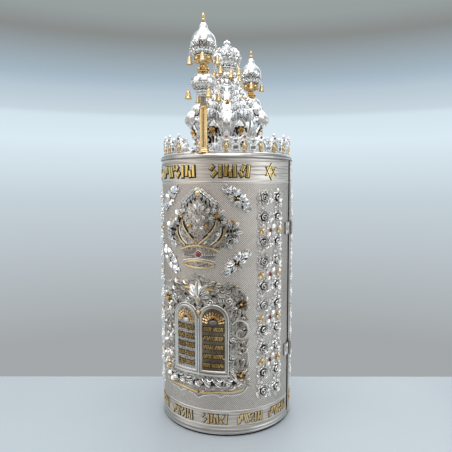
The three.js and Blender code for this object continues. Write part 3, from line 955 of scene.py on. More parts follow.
def makeFlowerBand(half, side):
    stamps = []

    def put(motif, x, z, size, spin, material=chasedSilver, lift=0.0, stretch=1.0, depth=1.0):
        stamps.append((motif, onPanel(x, z, size, spin, lift, stretch, depth), material))

    for group in range(band["groups"]):
        top = band["top"] - group * band["groupPitch"]
        for level in (top, top - band["rosePair"]):
            for x in (-band["column"], band["column"]):
                put(bead, x, level, band["roseRadius"] * 0.70, 0, blackGround, 0.1, depth=0.09)
                spin = dice.uniform(0, 360)
                put(rose, x, level, band["roseRadius"], spin, lift=0.9, depth=1.3)
                put(petalRing, x, level, band["roseRadius"] * 1.16, spin - 16, brightSilver, 0.8, depth=1.2)
                for k in range(5):
                    angle = 36 + k * 72 + dice.uniform(-8, 8)
                    reach, at = band["roseRadius"] * 0.86, math.radians(angle)
                    motif = dice.choice((leafHooked, leafCurled, leafCurledBack, leafHookedBack))
                    put(motif, x - reach * math.sin(at), level + reach * math.cos(at), dice.uniform(9, 11), angle,
                        brightSilver if k % 2 else chasedSilver, 0.4, 0.8, 1.2)
            for spin in (0, 180):
                put(leafCurled if spin else leafCurledBack, 0, level + (2.5 if spin == 0 else -2.5), 11.0, spin,
                    lift=0.4, stretch=0.8)
        middle = top - band["rosePair"] / 2
        for x in (-1, 1):
            put(handed(scrollBack, x), x * band["scrollColumn"], middle, 7.5, 180, lift=0.4, depth=1.3)
            put(leafWide, x * band["column"], middle, 9.5, 90, lift=0.4, depth=1.3)
        if group < band["groups"] - 1:
            jewel = top - band["jewelDrop"]
            for x in (-band["flowerColumn"], band["flowerColumn"]):
                put(flowerOfFour, x, jewel, band["flower"], dice.uniform(35, 55), giltSilver, 1.0, depth=1.3)
                for spin in (60, 120, 240, 300):
                    at = math.radians(spin)
                    put(leafCurled if spin in (60, 240) else leafCurledBack, x * 0.75 - 7.0 * math.sin(at),
                        jewel + 7.0 * math.cos(at), 10.5, spin, lift=0.3, stretch=0.7, depth=1.2)
            put(drop, 0, jewel - 1.5, 6.8, 0, garnet, 0.9)
            for spin in (38, 142, 218, 322):
                at = math.radians(spin)
                put(leaf, -4.6 * math.sin(at), jewel + 4.6 * math.cos(at), 12.5, spin, lift=0.3, depth=1.3)
    # a ragged leafy edge down both sides, and a crest at each end
    low = band["top"] - (band["groups"] - 1) * band["groupPitch"] - band["rosePair"] - 13
    z = low
    while z < band["top"] + 10:
        for x in (-1, 1):
            lean = -x * (48 + dice.uniform(-14, 14))
            put(dice.choice((leaf, leafCurled, leafCurledBack, leafHooked)), x * band["edge"],
                z + dice.uniform(-2, 2), dice.uniform(9, 12), lean, lift=0.3, stretch=0.8, depth=1.2)
        z += band["edgePitch"]
    for end, spin in ((band["top"] + 8.5, 0), (low + 4.0, 180)):
        for x in (-band["column"], 0, band["column"]):
            put(palmette, x, end, 10.5 if x else 8.5, spin + (0 if x == 0 else -14 * math.copysign(1, x)), lift=0.2)
    name = half + (" flower band right" if side > 0 else " flower band left")
    piece = joinAll(name, lay(stamps))
    return rollOnto(piece, caseRadius, halfTurns[half] + side * band["middle"])


for half in halfTurns:
    for side, word in ((1, "right"), (-1, "left")):
        keep(makeFlowerBand(half, side), half, "silver", f"{half}_flower_band_{word}")
print("flower bands laid")


# stroke bands and stars
strokeRelief = {"high": 9.0, "lift": 0.9, "shadowPatinaHigh": 4.0, "shadowPatinaLift": 0.1}
strokeBands = {
    # z of the middle, height and thickness of a stroke, its dark rim: painted shadow and dark patina round the stroke
    # groups of (first angle, last angle, clusters), in degrees from the half's middle
    "top": {"z": 521.5, "tall": 23, "thick": 5.8, "rim": 3.4, "groups": [(-45, -2, 4), (9, 42, 3)]},
    "bottom": {"z": 35, "tall": 19, "thick": 3.3, "rim": 2.2,
               "groups": [(-84, -66, 3), (-61, -38, 4), (-31, -6, 4), (2, 24, 3), (31, 54, 4), (60, 84, 4)]},
}


# upright, slanting and short bars that stand apart, so that no two of them make a letter
# each is (across, up, long, spin), across in half widths, up and long in heights of the cluster
strokePatterns = [[(-1, 0.06, 0.9, -5), (0, -0.2, 0.55, 8), (1, 0.02, 0.96, 3)],
                  [(-0.9, 0, 0.95, 14), (0.15, 0, 0.95, 14), (1.05, 0.3, 0.4, 14)],
                  [(-0.8, -0.26, 0.42, 30), (-0.3, 0.24, 0.48, -24), (0.9, 0, 1, -6)],
                  [(1, 0, 1, 0), (-1, 0.28, 0.4, -40), (-0.5, -0.24, 0.5, -40)],
                  [(-1, -0.2, 0.6, 0), (0, 0.02, 0.92, -12), (1, 0.2, 0.6, 0)]]


def strokeCluster(wide, tall, thick, pattern, put):
    side = wide / 2 - thick * 0.6
    for across, up, long, spin in strokePatterns[pattern]:
        put(side * across, tall * up, tall * long, spin)


def makeStrokes(half, level):
    sizes = strokeBands[level]
    stamps = []
    for first, last, count in sizes["groups"]:
        step = (last - first) / count
        for i in range(count):
            middle = math.radians(first + step * (i + 0.5)) * caseRadius
            wide = math.radians(step) * caseRadius * 0.86

            def put(x, z, long, spin):
                place = onPanel(middle + x, sizes["z"] + z, 1, spin, strokeRelief["lift"])
                shape = Matrix.Diagonal((sizes["thick"] / strokeWide, long, strokeRelief["high"], 1))
                stamps.append((stroke, place @ shape, yellowGilt if level == "top" else giltSilver))
                # a wider black copy under each stroke, set a little right and down: painted shadow, with the dark
                # patina round the stroke
                under = onPanel(middle + x + 0.5, sizes["z"] + z - 0.6, 1, spin, strokeRelief["shadowPatinaLift"])
                rim = Matrix.Diagonal(((sizes["thick"] + sizes["rim"]) / strokeWide, long + sizes["rim"],
                                       strokeRelief["shadowPatinaHigh"], 1))
                stamps.append((stroke, under @ rim, blackGround))

            strokeCluster(wide, sizes["tall"], sizes["thick"], (2 * i + count) % len(strokePatterns), put)
    piece = joinAll(f"{half} {level} strokes", lay(stamps))
    return rollOnto(piece, caseRadius, halfTurns[half])


star = {"angle": 61, "z": 521.5, "radius": 15.4, "bar": 1.9, "thick": 2.2, "rim": 1.4}


def makeStars(half):
    # two triangles laid over each other, the upper one a little higher
    sides = []
    for side in (-1, 1):
        triangles = []
        for flip, rim in ((0, 0), (1, 0), (0, star["rim"]), (1, star["rim"])):
            triangle = fresh(bpy.ops.mesh.primitive_circle_add, vertices=3, radius=(star["radius"] + 2 * rim) * mm,
                             fill_type="NGON")
            startEdit(triangle)
            bpy.ops.mesh.inset(thickness=(star["bar"] + 2 * rim) * mm)
            bpy.ops.mesh.delete(type="FACE")
            bpy.ops.mesh.select_all(action="SELECT")
            lift = (0.7 + 0.1 * flip if rim else star["thick"] + 0.5 * flip) * mm
            bpy.ops.mesh.extrude_region_move(TRANSFORM_OT_translate={"value": (0, 0, lift)})
            endEdit()
            closeUp(triangle)
            soften(triangle, lambda face: face.normal.z > 0.9, 0.3 * mm)
            turn = turnBy(180 * flip)
            place = shift(0, 0.3, star["z"]) @ turnBy(90, "X")
            triangle.data.transform(place @ turn)
            triangles.append(polish(triangle, blackGround if rim else yellowGilt, 30))
        pair = joinAll("star", triangles)
        sides.append(rollOnto(pair, caseRadius, halfTurns[half] + side * star["angle"]))
    return joinAll(half + " stars", sides)


for half in halfTurns:
    keep(makeStrokes(half, "top"), half, "gilt_silver")
    keep(makeStrokes(half, "bottom"), half, "gilt_silver")
    keep(makeStars(half), half, "gilt_silver")
print("strokes and stars laid")


# crown relief
crownOutline = [(0, 334), (20, 334.5), (33, 339), (34, 347), (31, 352), (33, 362), (41, 372), (55, 380), (68, 392),
                (75, 408), (70, 424), (62, 430), (52, 428), (46, 438), (42, 447), (40, 458), (28, 467), (14, 476),
                (7, 486), (0, 489)]


crownDetail = {
    # leaves and scrolls of (x, z, size, spin), flowers of (x, z, size)
    # wires of (places, thick, thin, lift, material)
    "softScrolls": [(9, 452, 7, 60), (20, 447, 7, 100), (0, 428, 6.5, 20), (10, 433, 6, 150), (30, 436, 5, 30),
                    (8, 414, 6, 40), (20, 402, 5.5, 120), (40, 402, 6, 40), (36, 388, 5.5, 100), (56, 402, 7, 60),
                    (62, 390, 6, 20), (14, 386, 5, 60), (62, 412, 5.5, 150)],
    "flowers": [(38, 437, 5.2), (66, 425, 4.8), (18, 416, 4.2)],
    "armLeaves": [(41, 437, 17, -45), (36, 440, 15, 25), (33, 433, 13, 100), (46, 426, 14, -110), (63, 414, 17, 10),
                  (68, 412, 18, -40), (70, 404, 18, -85), (66, 394, 16, -125), (57, 384, 15, -140)],
    "darkGaps": [(42, 433, 8, 175), (46, 429, 7, 160), (36, 434, 7, 190), (53, 426, 7, 120), (59, 410, 8, 150),
                 (64, 411, 8, 175), (69, 411, 8, 195), (73, 409, 7, 215), (72, 402, 8, 210), (67, 398, 8, 170),
                 (60, 402, 7, 150), (62, 391, 7, 160), (50, 418, 7, 180)],
    # the first two, in black, are painted shadow lines beside the gilt arms
    "wires": [(((34, 431), (32, 420), (23, 406), (10, 393)), 1.5, None, 1.7, blackGround),
              (((48, 413), (47, 402), (39, 389), (28, 380)), 1.7, None, 1.7, blackGround),
              (((0, 489), (12, 480), (24, 470), (36, 460), (42, 462)), 3.0, 1.8, 3.4, chasedSilver),
              (((37, 431), (35, 419), (26, 404), (12, 390), (0, 380)), 1.3, None, 2.8, giltSilver),
              (((51, 413), (50, 401), (42, 388), (30, 379)), 1.5, None, 2.8, giltSilver),
              (((45, 414), (44, 403), (36, 390), (25, 381)), 1.4, None, 2.2, chasedSilver)],
}


def makeCrownRelief(half):
    outline = smoothOutline(crownOutline, 4)
    parts = [plate(outline, 1.5, stippledSilver)]
    stamps = []

    def both(motif, x, z, size, spin, material=chasedSilver, lift=1.4, stretch=1.0, depth=1.2):
        stamps.extend(pairOnPanel(motif, x, z, size, spin, material, lift, stretch, depth))

    # the ball, the leafy roof that falls from it, and the dark row under the roof: black leaves as painted shadow
    # cast by the roof
    both(bead, 0, 479.5, 6.4, 0, giltSilver, 3.0)
    for i in range(5):
        t = i / 4
        both(leafWide, 4 + 27 * t, 487 - 22 * t, 12 - 2 * t, -122, chasedSilver, 2.8, depth=1.5)
        both(leafCurled, 5 + 27 * t, 480 - 21 * t, 10, -150, chasedSilver, 2.0, depth=1.4)
    for i in range(4):
        t = i / 3
        both(leaf, 7 + 26 * t, 472 - 17 * t, 8.0, 178, blackGround, 1.5, 1.0, 0.7)
    both(leafHooked, 36, 464, 13, -120, chasedSilver, 3.0, depth=1.7)
    # soft light forms in the heart
    both(palmette, 0, 450, 17, 0, lift=1.2, depth=1.0)
    for x, z, size, spin in crownDetail["softScrolls"]:
        both(scroll, x, z, size, spin, lift=1.3, depth=1.1)
    # flowers
    for x, z, size in crownDetail["flowers"]:
        both(flowerOfFive, x, z, size, 20, giltSilver, 3.4, depth=1.5)
    # full leaves at the head of each arm, over dark gaps
    for x, z, size, spin in crownDetail["armLeaves"]:
        both(palmette, x, z, size, spin, chasedSilver, 2.0, 0.9, 1.5)
    for x, z, size, spin in crownDetail["darkGaps"]:
        both(leaf, x, z, size, spin, blackGround, 3.0, 0.9, 1.0)
    for i in range(6):
        t = i / 5
        both(leaf, 7 + 24 * t, 371.5 - 3.5 * t, 8.5, -150 - 6 * i, agedSilver, lift=1.4)
        both(grain, 9 + 22 * t, 360 + 1 * t, 2.4, 0, agedSilver, lift=1.6)
        both(leaf, 9 + 20 * t, 353 + 1.5 * t, 7.0, -20 - 8 * i, agedSilver, lift=1.4)
    stamps.append((bead, onPanel(0, 362, 5.6, 0, 2.4, 1.0, 0.9), garnet))
    stamps.append((ring, onPanel(0, 362, 6.6, 0, 1.8, 1.0, 1.2), chasedSilver))
    parts += lay(stamps)
    # gilt wires: the heart, the arms, the band and the oval foot, with dark lines beside them, painted shadow drawn
    # as black wires
    parts += pairedWires(crownDetail["wires"])
    parts.append(wire([(-43, 367), (-30, 373), (-14, 377), (0, 378), (14, 377), (30, 373), (43, 367)], 1.5,
                      giltSilver, lift=2.8))
    parts.append(wire([(-34, 348.5), (-17, 351.5), (0, 352.5), (17, 351.5), (34, 348.5)], 1.3, chasedSilver,
                      lift=2.0))
    oval = [(31 * math.cos(a * math.pi / 6), 342 + 6.6 * math.sin(a * math.pi / 6)) for a in range(12)]
    parts.append(wire(oval, 1.8, giltSilver, closed=True, lift=2.2))
    piece = joinAll(half + " crown relief", parts)
    return rollOnto(piece, caseRadius, halfTurns[half])


for half in halfTurns:
    keep(makeCrownRelief(half), half, "silver", half + "_crown_relief")
print("crown reliefs laid")


# corner sprigs
sprig = {
    # rows of (z, slant in degrees), leaves of (motif, x, up, size, spin, lift, depth, material) on each arm
    "column": 75, "rows": ((470, -42), (346, 42)),
    "leaves": [(frond, 4, 3, 18, -58, 0.8, 1.4, brightSilver), (leafCurledBack, 4, -3, 17, -118, 0.8, 1.4,
                                                                chasedSilver),
               (leafCurled, 3, -4, 13, -160, 0.8, 1.5, chasedSilver), (leafWide, 8, 3, 8, -92, 2.4, 1.0, blackGround),
               (frond, 15, 0, 16, -84, 1.0, 1.4, brightSilver), (leafWide, 15, -4, 7, -110, 2.4, 1.0, blackGround),
               (leafCurled, 25, 3, 12, -70, 0.8, 1.7, chasedSilver),
               (leafCurledBack, 24, -4, 11, -110, 0.8, 1.5, brightSilver)],
}


def makeSprigs(half):
    pieces = []
    for side in (-1, 1):
        for z, slant in sprig["rows"]:
            stamps = []
            run = shift(side * sprig["column"], 0, z)
            run = run @ turnBy(-side * slant, "Y")

            def put(motif, x, up, size, spin, lift, depth, material):
                stamps.append((motif, run @ onPanel(x, up, size, spin, lift, 1.0, depth), material))

            put(bead, 0, 0, 7.0, 0, 0.2, 0.12, blackGround)
            put(bead, 1, 1, 2.0, 0, 1.8, 1.0, giltSilver)
            put(leafWide, -2, -2, 6.5, 130, 1.6, 1.4, giltSilver)
            for way in (-1, 1):
                for motif, x, up, size, spin, lift, depth, material in sprig["leaves"]:
                    put(handed(motif, way), way * x, up, size, way * spin, lift, depth, material)
            pieces += lay(stamps)
    piece = joinAll(half + " corner sprigs", pieces)
    return rollOnto(piece, caseRadius, halfTurns[half])


for half in halfTurns:
    keep(makeSprigs(half), half, "silver")
print("sprigs laid")


# tablets relief
tablet = {"middle": 29.5, "half": 27, "low": 128, "spring": 234, "thick": 4.2, "frame": 5.2, "sunk": 2.0,
          "rows": 5, "firstRow": 216, "rowPitch": 18.0, "field": 41, "strip": 5.4, "stroke": 8.6,
          "strokeThick": 1.1, "sunFoot": 228}
cartoucheOutline = [(0, 322), (12, 318), (20, 309), (36, 309), (48, 300), (66, 301), (82, 292), (92, 278), (97, 264),
                    (91, 248), (95, 230), (97, 212), (92, 196), (95, 178), (92, 160), (97, 143), (100, 124),
                    (96, 105), (85, 94), (62, 89), (40, 87), (22, 84), (10, 83), (0, 78)]


def makeTablet(side):
    # the tablet on the right has stained brown; the other is cleaner
    half, low, spring = tablet["half"], tablet["low"], tablet["spring"]
    middle = side * tablet["middle"]
    outline = [(middle + half, low), (middle - half, low)]
    for i in range(25):
        angle = math.pi - math.pi * i / 24
        outline.append((middle + half * math.cos(angle), spring + half * math.sin(angle)))
    slab = slabFrom(outline, tablet["thick"])
    slab.data.materials.append(agedSilver if side > 0 else wornSilver)
    slab.data.materials.append(brownField if side > 0 else stippledSilver)

    def front(face):
        return face.normal.y < -0.9 and abs(face.center.y + tablet["thick"] * mm) < 0.1 * mm

    soften(slab, front, 1.3 * mm, 2)
    startEdit(slab, front)
    bpy.ops.mesh.inset(thickness=(tablet["frame"] - 3.0) * mm)
    bpy.ops.mesh.inset(thickness=1.5 * mm, depth=-tablet["sunk"] * mm)
    bpy.context.object.active_material_index = 1
    bpy.ops.object.material_slot_assign()
    endEdit()
    cutUpright(slab, middle - half, middle + half, 5.5)
    return polish(slab, None, 30)


def makeTabletWork(side):
    # the half sun and the rows of strokes
    middle = side * tablet["middle"]
    ground = tablet["thick"] - tablet["sunk"]
    disc = oxidisedSilver if side > 0 else wornSilver
    stamps = [(bead, onPanel(middle, 229.0, 8.2, 0, ground, 0.62, 0.35), disc),
              (bead, onPanel(middle, 235, 21, 0, ground - 0.9, 0.9, 0.06), blackGround)]
    for ringRadius, count, size in ((10.0, 9, 7.4), (16.6, 11, 5.6)):
        for i in range(count):
            spin = -82 + 164 * i / (count - 1)
            at = math.radians(spin)
            place = onPanel(middle - ringRadius * math.sin(at), tablet["sunFoot"] + ringRadius * math.cos(at), size,
                            spin, ground + 0.1)
            stamps.append((leafWide, place @ Matrix.Diagonal((1.0, 1, 1.3, 1)), giltSilver))
    pieces = []
    for row in range(tablet["rows"]):
        z = tablet["firstRow"] - row * tablet["rowPitch"]
        field = tablet["field"] / 2
        split = dice.uniform(-6, 2)
        for left, right in ((-field, split - 1.2), (split + 1.2, field)):
            down, up = z - tablet["strip"], z + tablet["strip"]
            strip = [(middle + left, down), (middle + right, down), (middle + right, up), (middle + left, up)]
            back = plate(strip, 0.5, blackGround, 5.0, 0.2)
            back.data.transform(shift(0, 0.1 - ground, 0))
            pieces.append(back)
        for first, last, count in ((-field + 0.8, split - 1.8, 4), (split + 1.8, field - 0.8, 5)):
            wide = (last - first) / count
            for i in range(count):

                def put(x, up, long, spin):
                    at = onPanel(middle + first + wide * (i + 0.5) + x, z + up, 1, spin, ground + 0.6)
                    shape = Matrix.Diagonal((tablet["strokeThick"] / strokeWide, long, 5.0, 1))
                    stamps.append((stroke, at @ shape, agedGilt))

                strokeCluster(wide, tablet["stroke"], tablet["strokeThick"], dice.randrange(len(strokePatterns)), put)
    return pieces + lay(stamps)


tabletDetail = {
    # leaves and scrolls of (x, z, size, spin), wires of (places, thick, thin, lift, material)
    "topLeaves": [(22, 303, 12, -60), (34, 303, 13, -85), (46, 301, 13, -65), (58, 303, 13, -75), (70, 299, 13, -95),
                  (82, 290, 13, -120), (91, 279, 12, -150), (94, 264, 12, -165), (12, 272, 12, -120),
                  (40, 286, 13, -110), (52, 288, 13, -80), (66, 286, 13, -20), (74, 282, 13, 10), (62, 262, 13, -150),
                  (68, 250, 12, -165)],
    "topScrolls": [(24, 270, 11, 60), (46, 274, 9, 20), (60, 272, 12, 140), (36, 294, 8, 100), (72, 294, 8, 80),
                   (14, 288, 8, 180)],
    "darkGaps": [(34, 281, 8, 90), (52, 266, 8, 160), (74, 270, 8, 190), (10, 264, 7, 150), (64, 294, 7, 100)],
    "sideLeaves": [(84, 222, 10, 30), (80, 208, 9, 160), (92, 212, 9, -60), (74, 252, 15, 150), (92, 244, 12, -160),
                   (70, 233, 13, 20), (72, 192, 15, 160), (90, 186, 13, -150), (72, 176, 18, 10), (88, 168, 16, -20),
                   (70, 158, 15, 150), (88, 152, 13, 170), (76, 143, 15, 10), (94, 140, 11, -30), (72, 104, 14, 120),
                   (94, 106, 12, -120)],
    "wires": [(((2, 272), (5, 283), (12, 291), (22, 295), (31, 294)), 3.0, 2.2, 3.0, giltSilver),
              (((66, 226), (76, 234), (90, 230), (97, 217), (93, 203), (82, 198), (75, 206), (79, 215), (86, 213)),
               2.4, 1.3, 2.6, wornSilver),
              (((63, 240), (68, 262), (62, 280), (46, 288)), 2.0, 1.2, 2.2, wornSilver),
              (((100, 196), (94, 180), (98, 162), (94, 142)), 2.0, 1.2, 2.2, wornSilver),
              (((66, 138), (72, 122), (86, 106), (96, 104)), 2.0, 1.2, 2.2, wornSilver),
              (((88, 96), (66, 91.5), (40, 91), (16, 88), (2, 86)), 2.2, None, 2.0, giltSilver),
              (((99, 104), (90, 90), (70, 84), (52, 84), (45, 80), (38, 84), (12, 81), (0, 75)), 1.2, None, 1.2,
               chasedSilver)],
}


def makeTabletsRelief(half):
    outline = smoothOutline(cartoucheOutline, 4)

    def onTablets(x, z):
        return abs(x) < 55 and 131 < z < 236 or math.hypot(abs(x) - tablet["middle"], z - tablet["spring"]) < 24

    parts = [plate(outline, 1.2, stippledSilver)]
    stamps = scatter(outline, 12.0, [(leafCurled, 9.0, 1.1), (leafCurledBack, 9.0, 1.1), (leaf, 8, 1.1)], agedSilver,
                     onTablets)

    def both(motif, x, z, size, spin, material=wornSilver, lift=1.1, stretch=1.0, depth=1.3):
        stamps.extend(pairOnPanel(motif, x, z, size, spin, material, lift, stretch, depth))

    # top: palmette between two gilt arms, over scrolled leaves
    both(shell, 0, 278, 35, 0, chasedSilver, 2.0, depth=1.1)
    both(bead, 0, 282, 3.6, 0, giltSilver, 2.4)
    for x, z, size, spin in tabletDetail["topLeaves"]:
        both(dice.choice((leafCurled, leafWide, leafCurledBack)), x, z, size * 1.15, spin, depth=1.8)
    for x, z, size, spin in tabletDetail["topScrolls"]:
        both(scroll, x, z, size, spin, chasedSilver, 1.4, depth=1.7)
    for x, z, size, spin in tabletDetail["darkGaps"]:
        both(leafWide, x, z, size, spin, blackGround, 1.0, 1.0, 0.8)
    both(drop, 0, 249, 10.5, 180, giltSilver, 1.6)
    both(leafWide, 0, 262, 12, 0, depth=1.5)
    # sides: roses and leaf clusters
    for z, size, material in ((265, 8.8, agedGilt), (123, 10.2, giltSilver)):
        both(bead, 83.5, z, size * 0.9, 0, blackGround, 0.9, depth=0.15)
        both(rose, 83.5, z, size, dice.uniform(0, 360), material, 1.6, depth=1.5)
        both(bead, 83.5, z, 3.0, 0, giltSilver, 3.0)
        for k in range(9):
            angle = k * 40 + dice.uniform(-8, 8)
            at = math.radians(angle)
            both(dice.choice((leafWide, leafCurled, leafCurledBack)), 83.5 - 9 * math.sin(at), z + 9 * math.cos(at),
                 10.5, angle, depth=1.5)
    for x, z, size, spin in tabletDetail["sideLeaves"]:
        both(dice.choice((palmette, leafWide, leafCurled)), x, z, size, spin, depth=1.9)
        both(leafWide, x - 5, z + 2, size * 0.55, spin - 50, blackGround, 0.9, 1.0, 0.8)
    for z in (244, 196, 160, 136):
        both(scroll, 68, z, 9, 30 + dice.uniform(-20, 20), chasedSilver, depth=1.7)
        both(scrollBack, 90, z - 8, 8, 150 + dice.uniform(-20, 20), depth=1.7)
    # foot: a row of acanthus over a dark ground
    for i in range(8):
        x = 3 + i * 10.2
        both(bead, x, 106 + 0.5 * i, 7.5, 0, blackGround, 0.9, 1.0, 0.12)
        both(leafCurled if i % 2 else leafCurledBack, x, 99 + 0.6 * i, 15, -38 if i % 2 else 34, chasedSilver, 1.6,
             depth=1.8)
        both(leafCurledBack if i % 2 else leafCurled, x + 4, 115 + 0.4 * i, 11, -118, brightSilver, 1.6, depth=1.6)
    parts += [makeTablet(-1), makeTablet(1)] + makeTabletWork(-1) + makeTabletWork(1) + lay(stamps)
    # wires: gilt arms and foot line, silver outline with its points, the post between the tablets
    middle, spring, bow = tablet["middle"], tablet["spring"], 29.2
    arch = [(middle + bow * math.cos(a * math.pi / 10), spring + bow * math.sin(a * math.pi / 10)) for a in range(9)]
    surround = [([(58.7, 127), (58.7, 180)] + arch, 1.6, None, 2.4, wornSilver),
                ([(60.6, 127), (60.6, 180), (60.6, 230)], 1.0, None, 1.4, blackGround)]
    parts += pairedWires(tabletDetail["wires"] + surround)
    parts.append(wire([(-61, 124.5), (-30, 124.5), (0, 124.5), (30, 124.5), (61, 124.5)], 2.4, wornSilver, lift=2.2))
    parts.append(wire([(0, 126), (0, 180), (0, 236)], 1.8, wornSilver, lift=3.6))
    piece = joinAll(half + " tablets relief", parts)
    return rollOnto(piece, caseRadius, halfTurns[half])


for half in halfTurns:
    keep(makeTabletsRelief(half), half, "silver", half + "_tablets_relief")
print("tablets laid")


# gallery
gallery = {"inner": 130.6, "thick": 4.0, "foot": 555.9, "sill": 5.2, "spring": 13.8, "opening": 9.4, "pitch": 15,
           "arches": 5, "top": 584.5, "postWidth": 15.2, "bracketTurn": 11.1}


def drawVase():
    profile = [(0, 0), (4.6, 0), (4.8, 1.2), (2.4, 2.6), (1.7, 4.5), (3.6, 7.0), (4.7, 10.0), (4.3, 12.6),
               (2.1, 15.2), (1.5, 17.0), (2.9, 18.2), (2.4, 19.4), (1.1, 21.5), (0.9, 23.0), (0, 24.0)]
    vase = turned("vase", profile, steps=12)
    return polish(vase, giltSilver, 50)


def block(x0, x1, z0, z1, depth0, depth1, material, edge=0.5):
    # a bar between two places across, up and out, with softened edges
    made = fresh(bpy.ops.mesh.primitive_cube_add, size=1)
    place = shift((x0 + x1) / 2, -(depth0 + depth1) / 2, (z0 + z1) / 2)
    made.data.transform(place @ Matrix.Diagonal(((x1 - x0) * mm, (depth1 - depth0) * mm, (z1 - z0) * mm, 1)))
    return polish(soften(made, lambda face: True, edge * mm), material, 30)


def drawPost():
    # the panel between two arches, with two sunk windows on each face
    g = gallery
    half, low, high = g["postWidth"] / 2, g["foot"] + g["sill"], g["foot"] + 27.5
    made = block(-half, half, low, high, 0, g["thick"], crownSilver, 0.4)
    made.data.materials.append(oxidisedSilver)
    for level in (low + 5.4, low + 16.8):
        for face in (-1, 1):
            depth = -0.15 if face > 0 else g["thick"] + 0.15
            frameLine = [(-4.6, level - 3.0), (4.6, level - 3.0), (4.6, level + 3.0), (-4.6, level + 3.0)]
            window = wire(frameLine, 0.75, crownSilver, closed=True, lift=0, flat=1.0)
            pane = block(-4.2, 4.2, level - 2.8, level + 2.8, -0.25, 0.25, oxidisedSilver, 0.1)
            pair = joinAll("window", [window, pane])
            pair.data.transform(shift(0, -depth, 0))
            made = joinAll("post", [made, pair])
    return made


def drawArch():
    g = gallery
    wide = math.radians(g["pitch"]) * (g["inner"] + 2) / 2 - 0.1
    foot, sill, springs = g["foot"], g["foot"] + g["sill"], g["foot"] + g["spring"]
    hole = [(g["opening"] * math.cos(a * math.pi / 8), springs + g["opening"] * math.sin(a * math.pi / 8))
            for a in range(8, -1, -1)]
    crest = [(wide, springs + 13.0), (wide * 0.80, springs + 13.6), (wide * 0.62, g["top"] + 0.6),
             (wide * 0.42, g["top"] + 1.6), (wide * 0.24, g["top"] + 4.6), (0, g["top"] + 7.0)]
    outline = [(-wide, springs)] + hole + [(wide, springs)] + crest + [(-x, z) for x, z in reversed(crest[:-1])]
    head = plate(outline, g["thick"], crownSilver, 3.0, 0.5)
    parts = [head, block(-wide, wide, foot, sill - 1.6, -0.6, g["thick"] + 0.8, crownSilver, 0.8),
             block(-wide, wide, sill - 1.6, sill, 0.2, g["thick"] - 0.2, crownSilver, 0.5)]
    moulding = [(10.4 * math.cos(a * math.pi / 10), springs + 10.4 * math.sin(a * math.pi / 10))
                for a in range(10, -1, -1)]
    for depth in (g["thick"], 0.0):
        line = [(-10.4, sill)] + moulding + [(10.4, sill)]
        parts.append(wire(line, 1.1, brightSilver, lift=depth, flat=0.9))
    front = g["thick"]
    stamps = [(bead, onPanel(0, springs + 16.8, 2.5, 0, front + 0.2, 1.0, 1.1), carnelian),
              (ring, onPanel(0, springs + 16.8, 3.0, 0, front + 0.1, 1.0, 1.1), crownSilver),
              (palmette, onPanel(0, g["top"] + 3.5, 9.0, 0, front / 2, 1.0, 1.4), crownSilver),
              (bead, onPanel(0, g["top"] + 8.6, 1.5, 0, front / 2), brightSilver)]
    for side in (-1, 1):
        stamps += [(handed(leafCurledBack, side), onPanel(side * 11.5, springs + 9.5, 8.5, side * 30, front, 1.0,
                                                          1.3), crownSilver),
                   (leafWide, onPanel(side * 14.0, springs + 3.0, 6.5, side * 8, front, 1.0, 1.3), crownSilver),
                   (palmette, onPanel(side * wide * 0.80, springs + 12.0, 7.0, side * -8, front / 2, 1.0, 1.3),
                    crownSilver),
                   (handed(scroll, side), onPanel(side * 6.0, springs + 13.0, 4.0, side * 60, front, 1.0, 1.3),
                    crownSilver)]
    parts += lay(stamps)
    urn = copyOf(vase)
    urn.data.transform(shift(0, -g["thick"] / 2, sill - 2.0))
    return joinAll("arch", parts + [urn])


vase = drawVase()
post = drawPost()
arch = drawArch()
workshop += [vase, post, arch]


def makeBracket(way, finialGap):
    # an open scroll that ends the run beside the finial
    g = gallery
    low = g["foot"]
    start, end = sorted((-way * finialGap, way * 9.6))
    parts = [block(start, end, low, low + 4.6, -0.6, g["thick"] + 0.8, crownSilver, 0.8)]
    curve = [(-finialGap * way, low + 5), (-1.5 * way, low + 10), (3.5 * way, low + 18), (5.0 * way, low + 27)]
    parts.append(wire(curve, 2.2, brightSilver, thin=1.4, lift=2.0, flat=1.0))
    stamps = [(handed(leafCurledBack, way), onPanel(way * 2, low + 5, 15, -12 * way, 2.2, 1.0, 1.5), crownSilver),
              (handed(scroll, way), onPanel(way * 3.5, low + 12, 6.5, 0, 2.4, 1.0, 1.8), crownSilver),
              (leafWide, onPanel(way * 7.5, low + 4, 17, -6 * way, 1.6, 1.0, 1.6), crownSilver),
              (bead, onPanel(way * 5.2, low + 28.5, 2.2, 0, 2.0), brightSilver)]
    return joinAll("bracket", parts + lay(stamps))


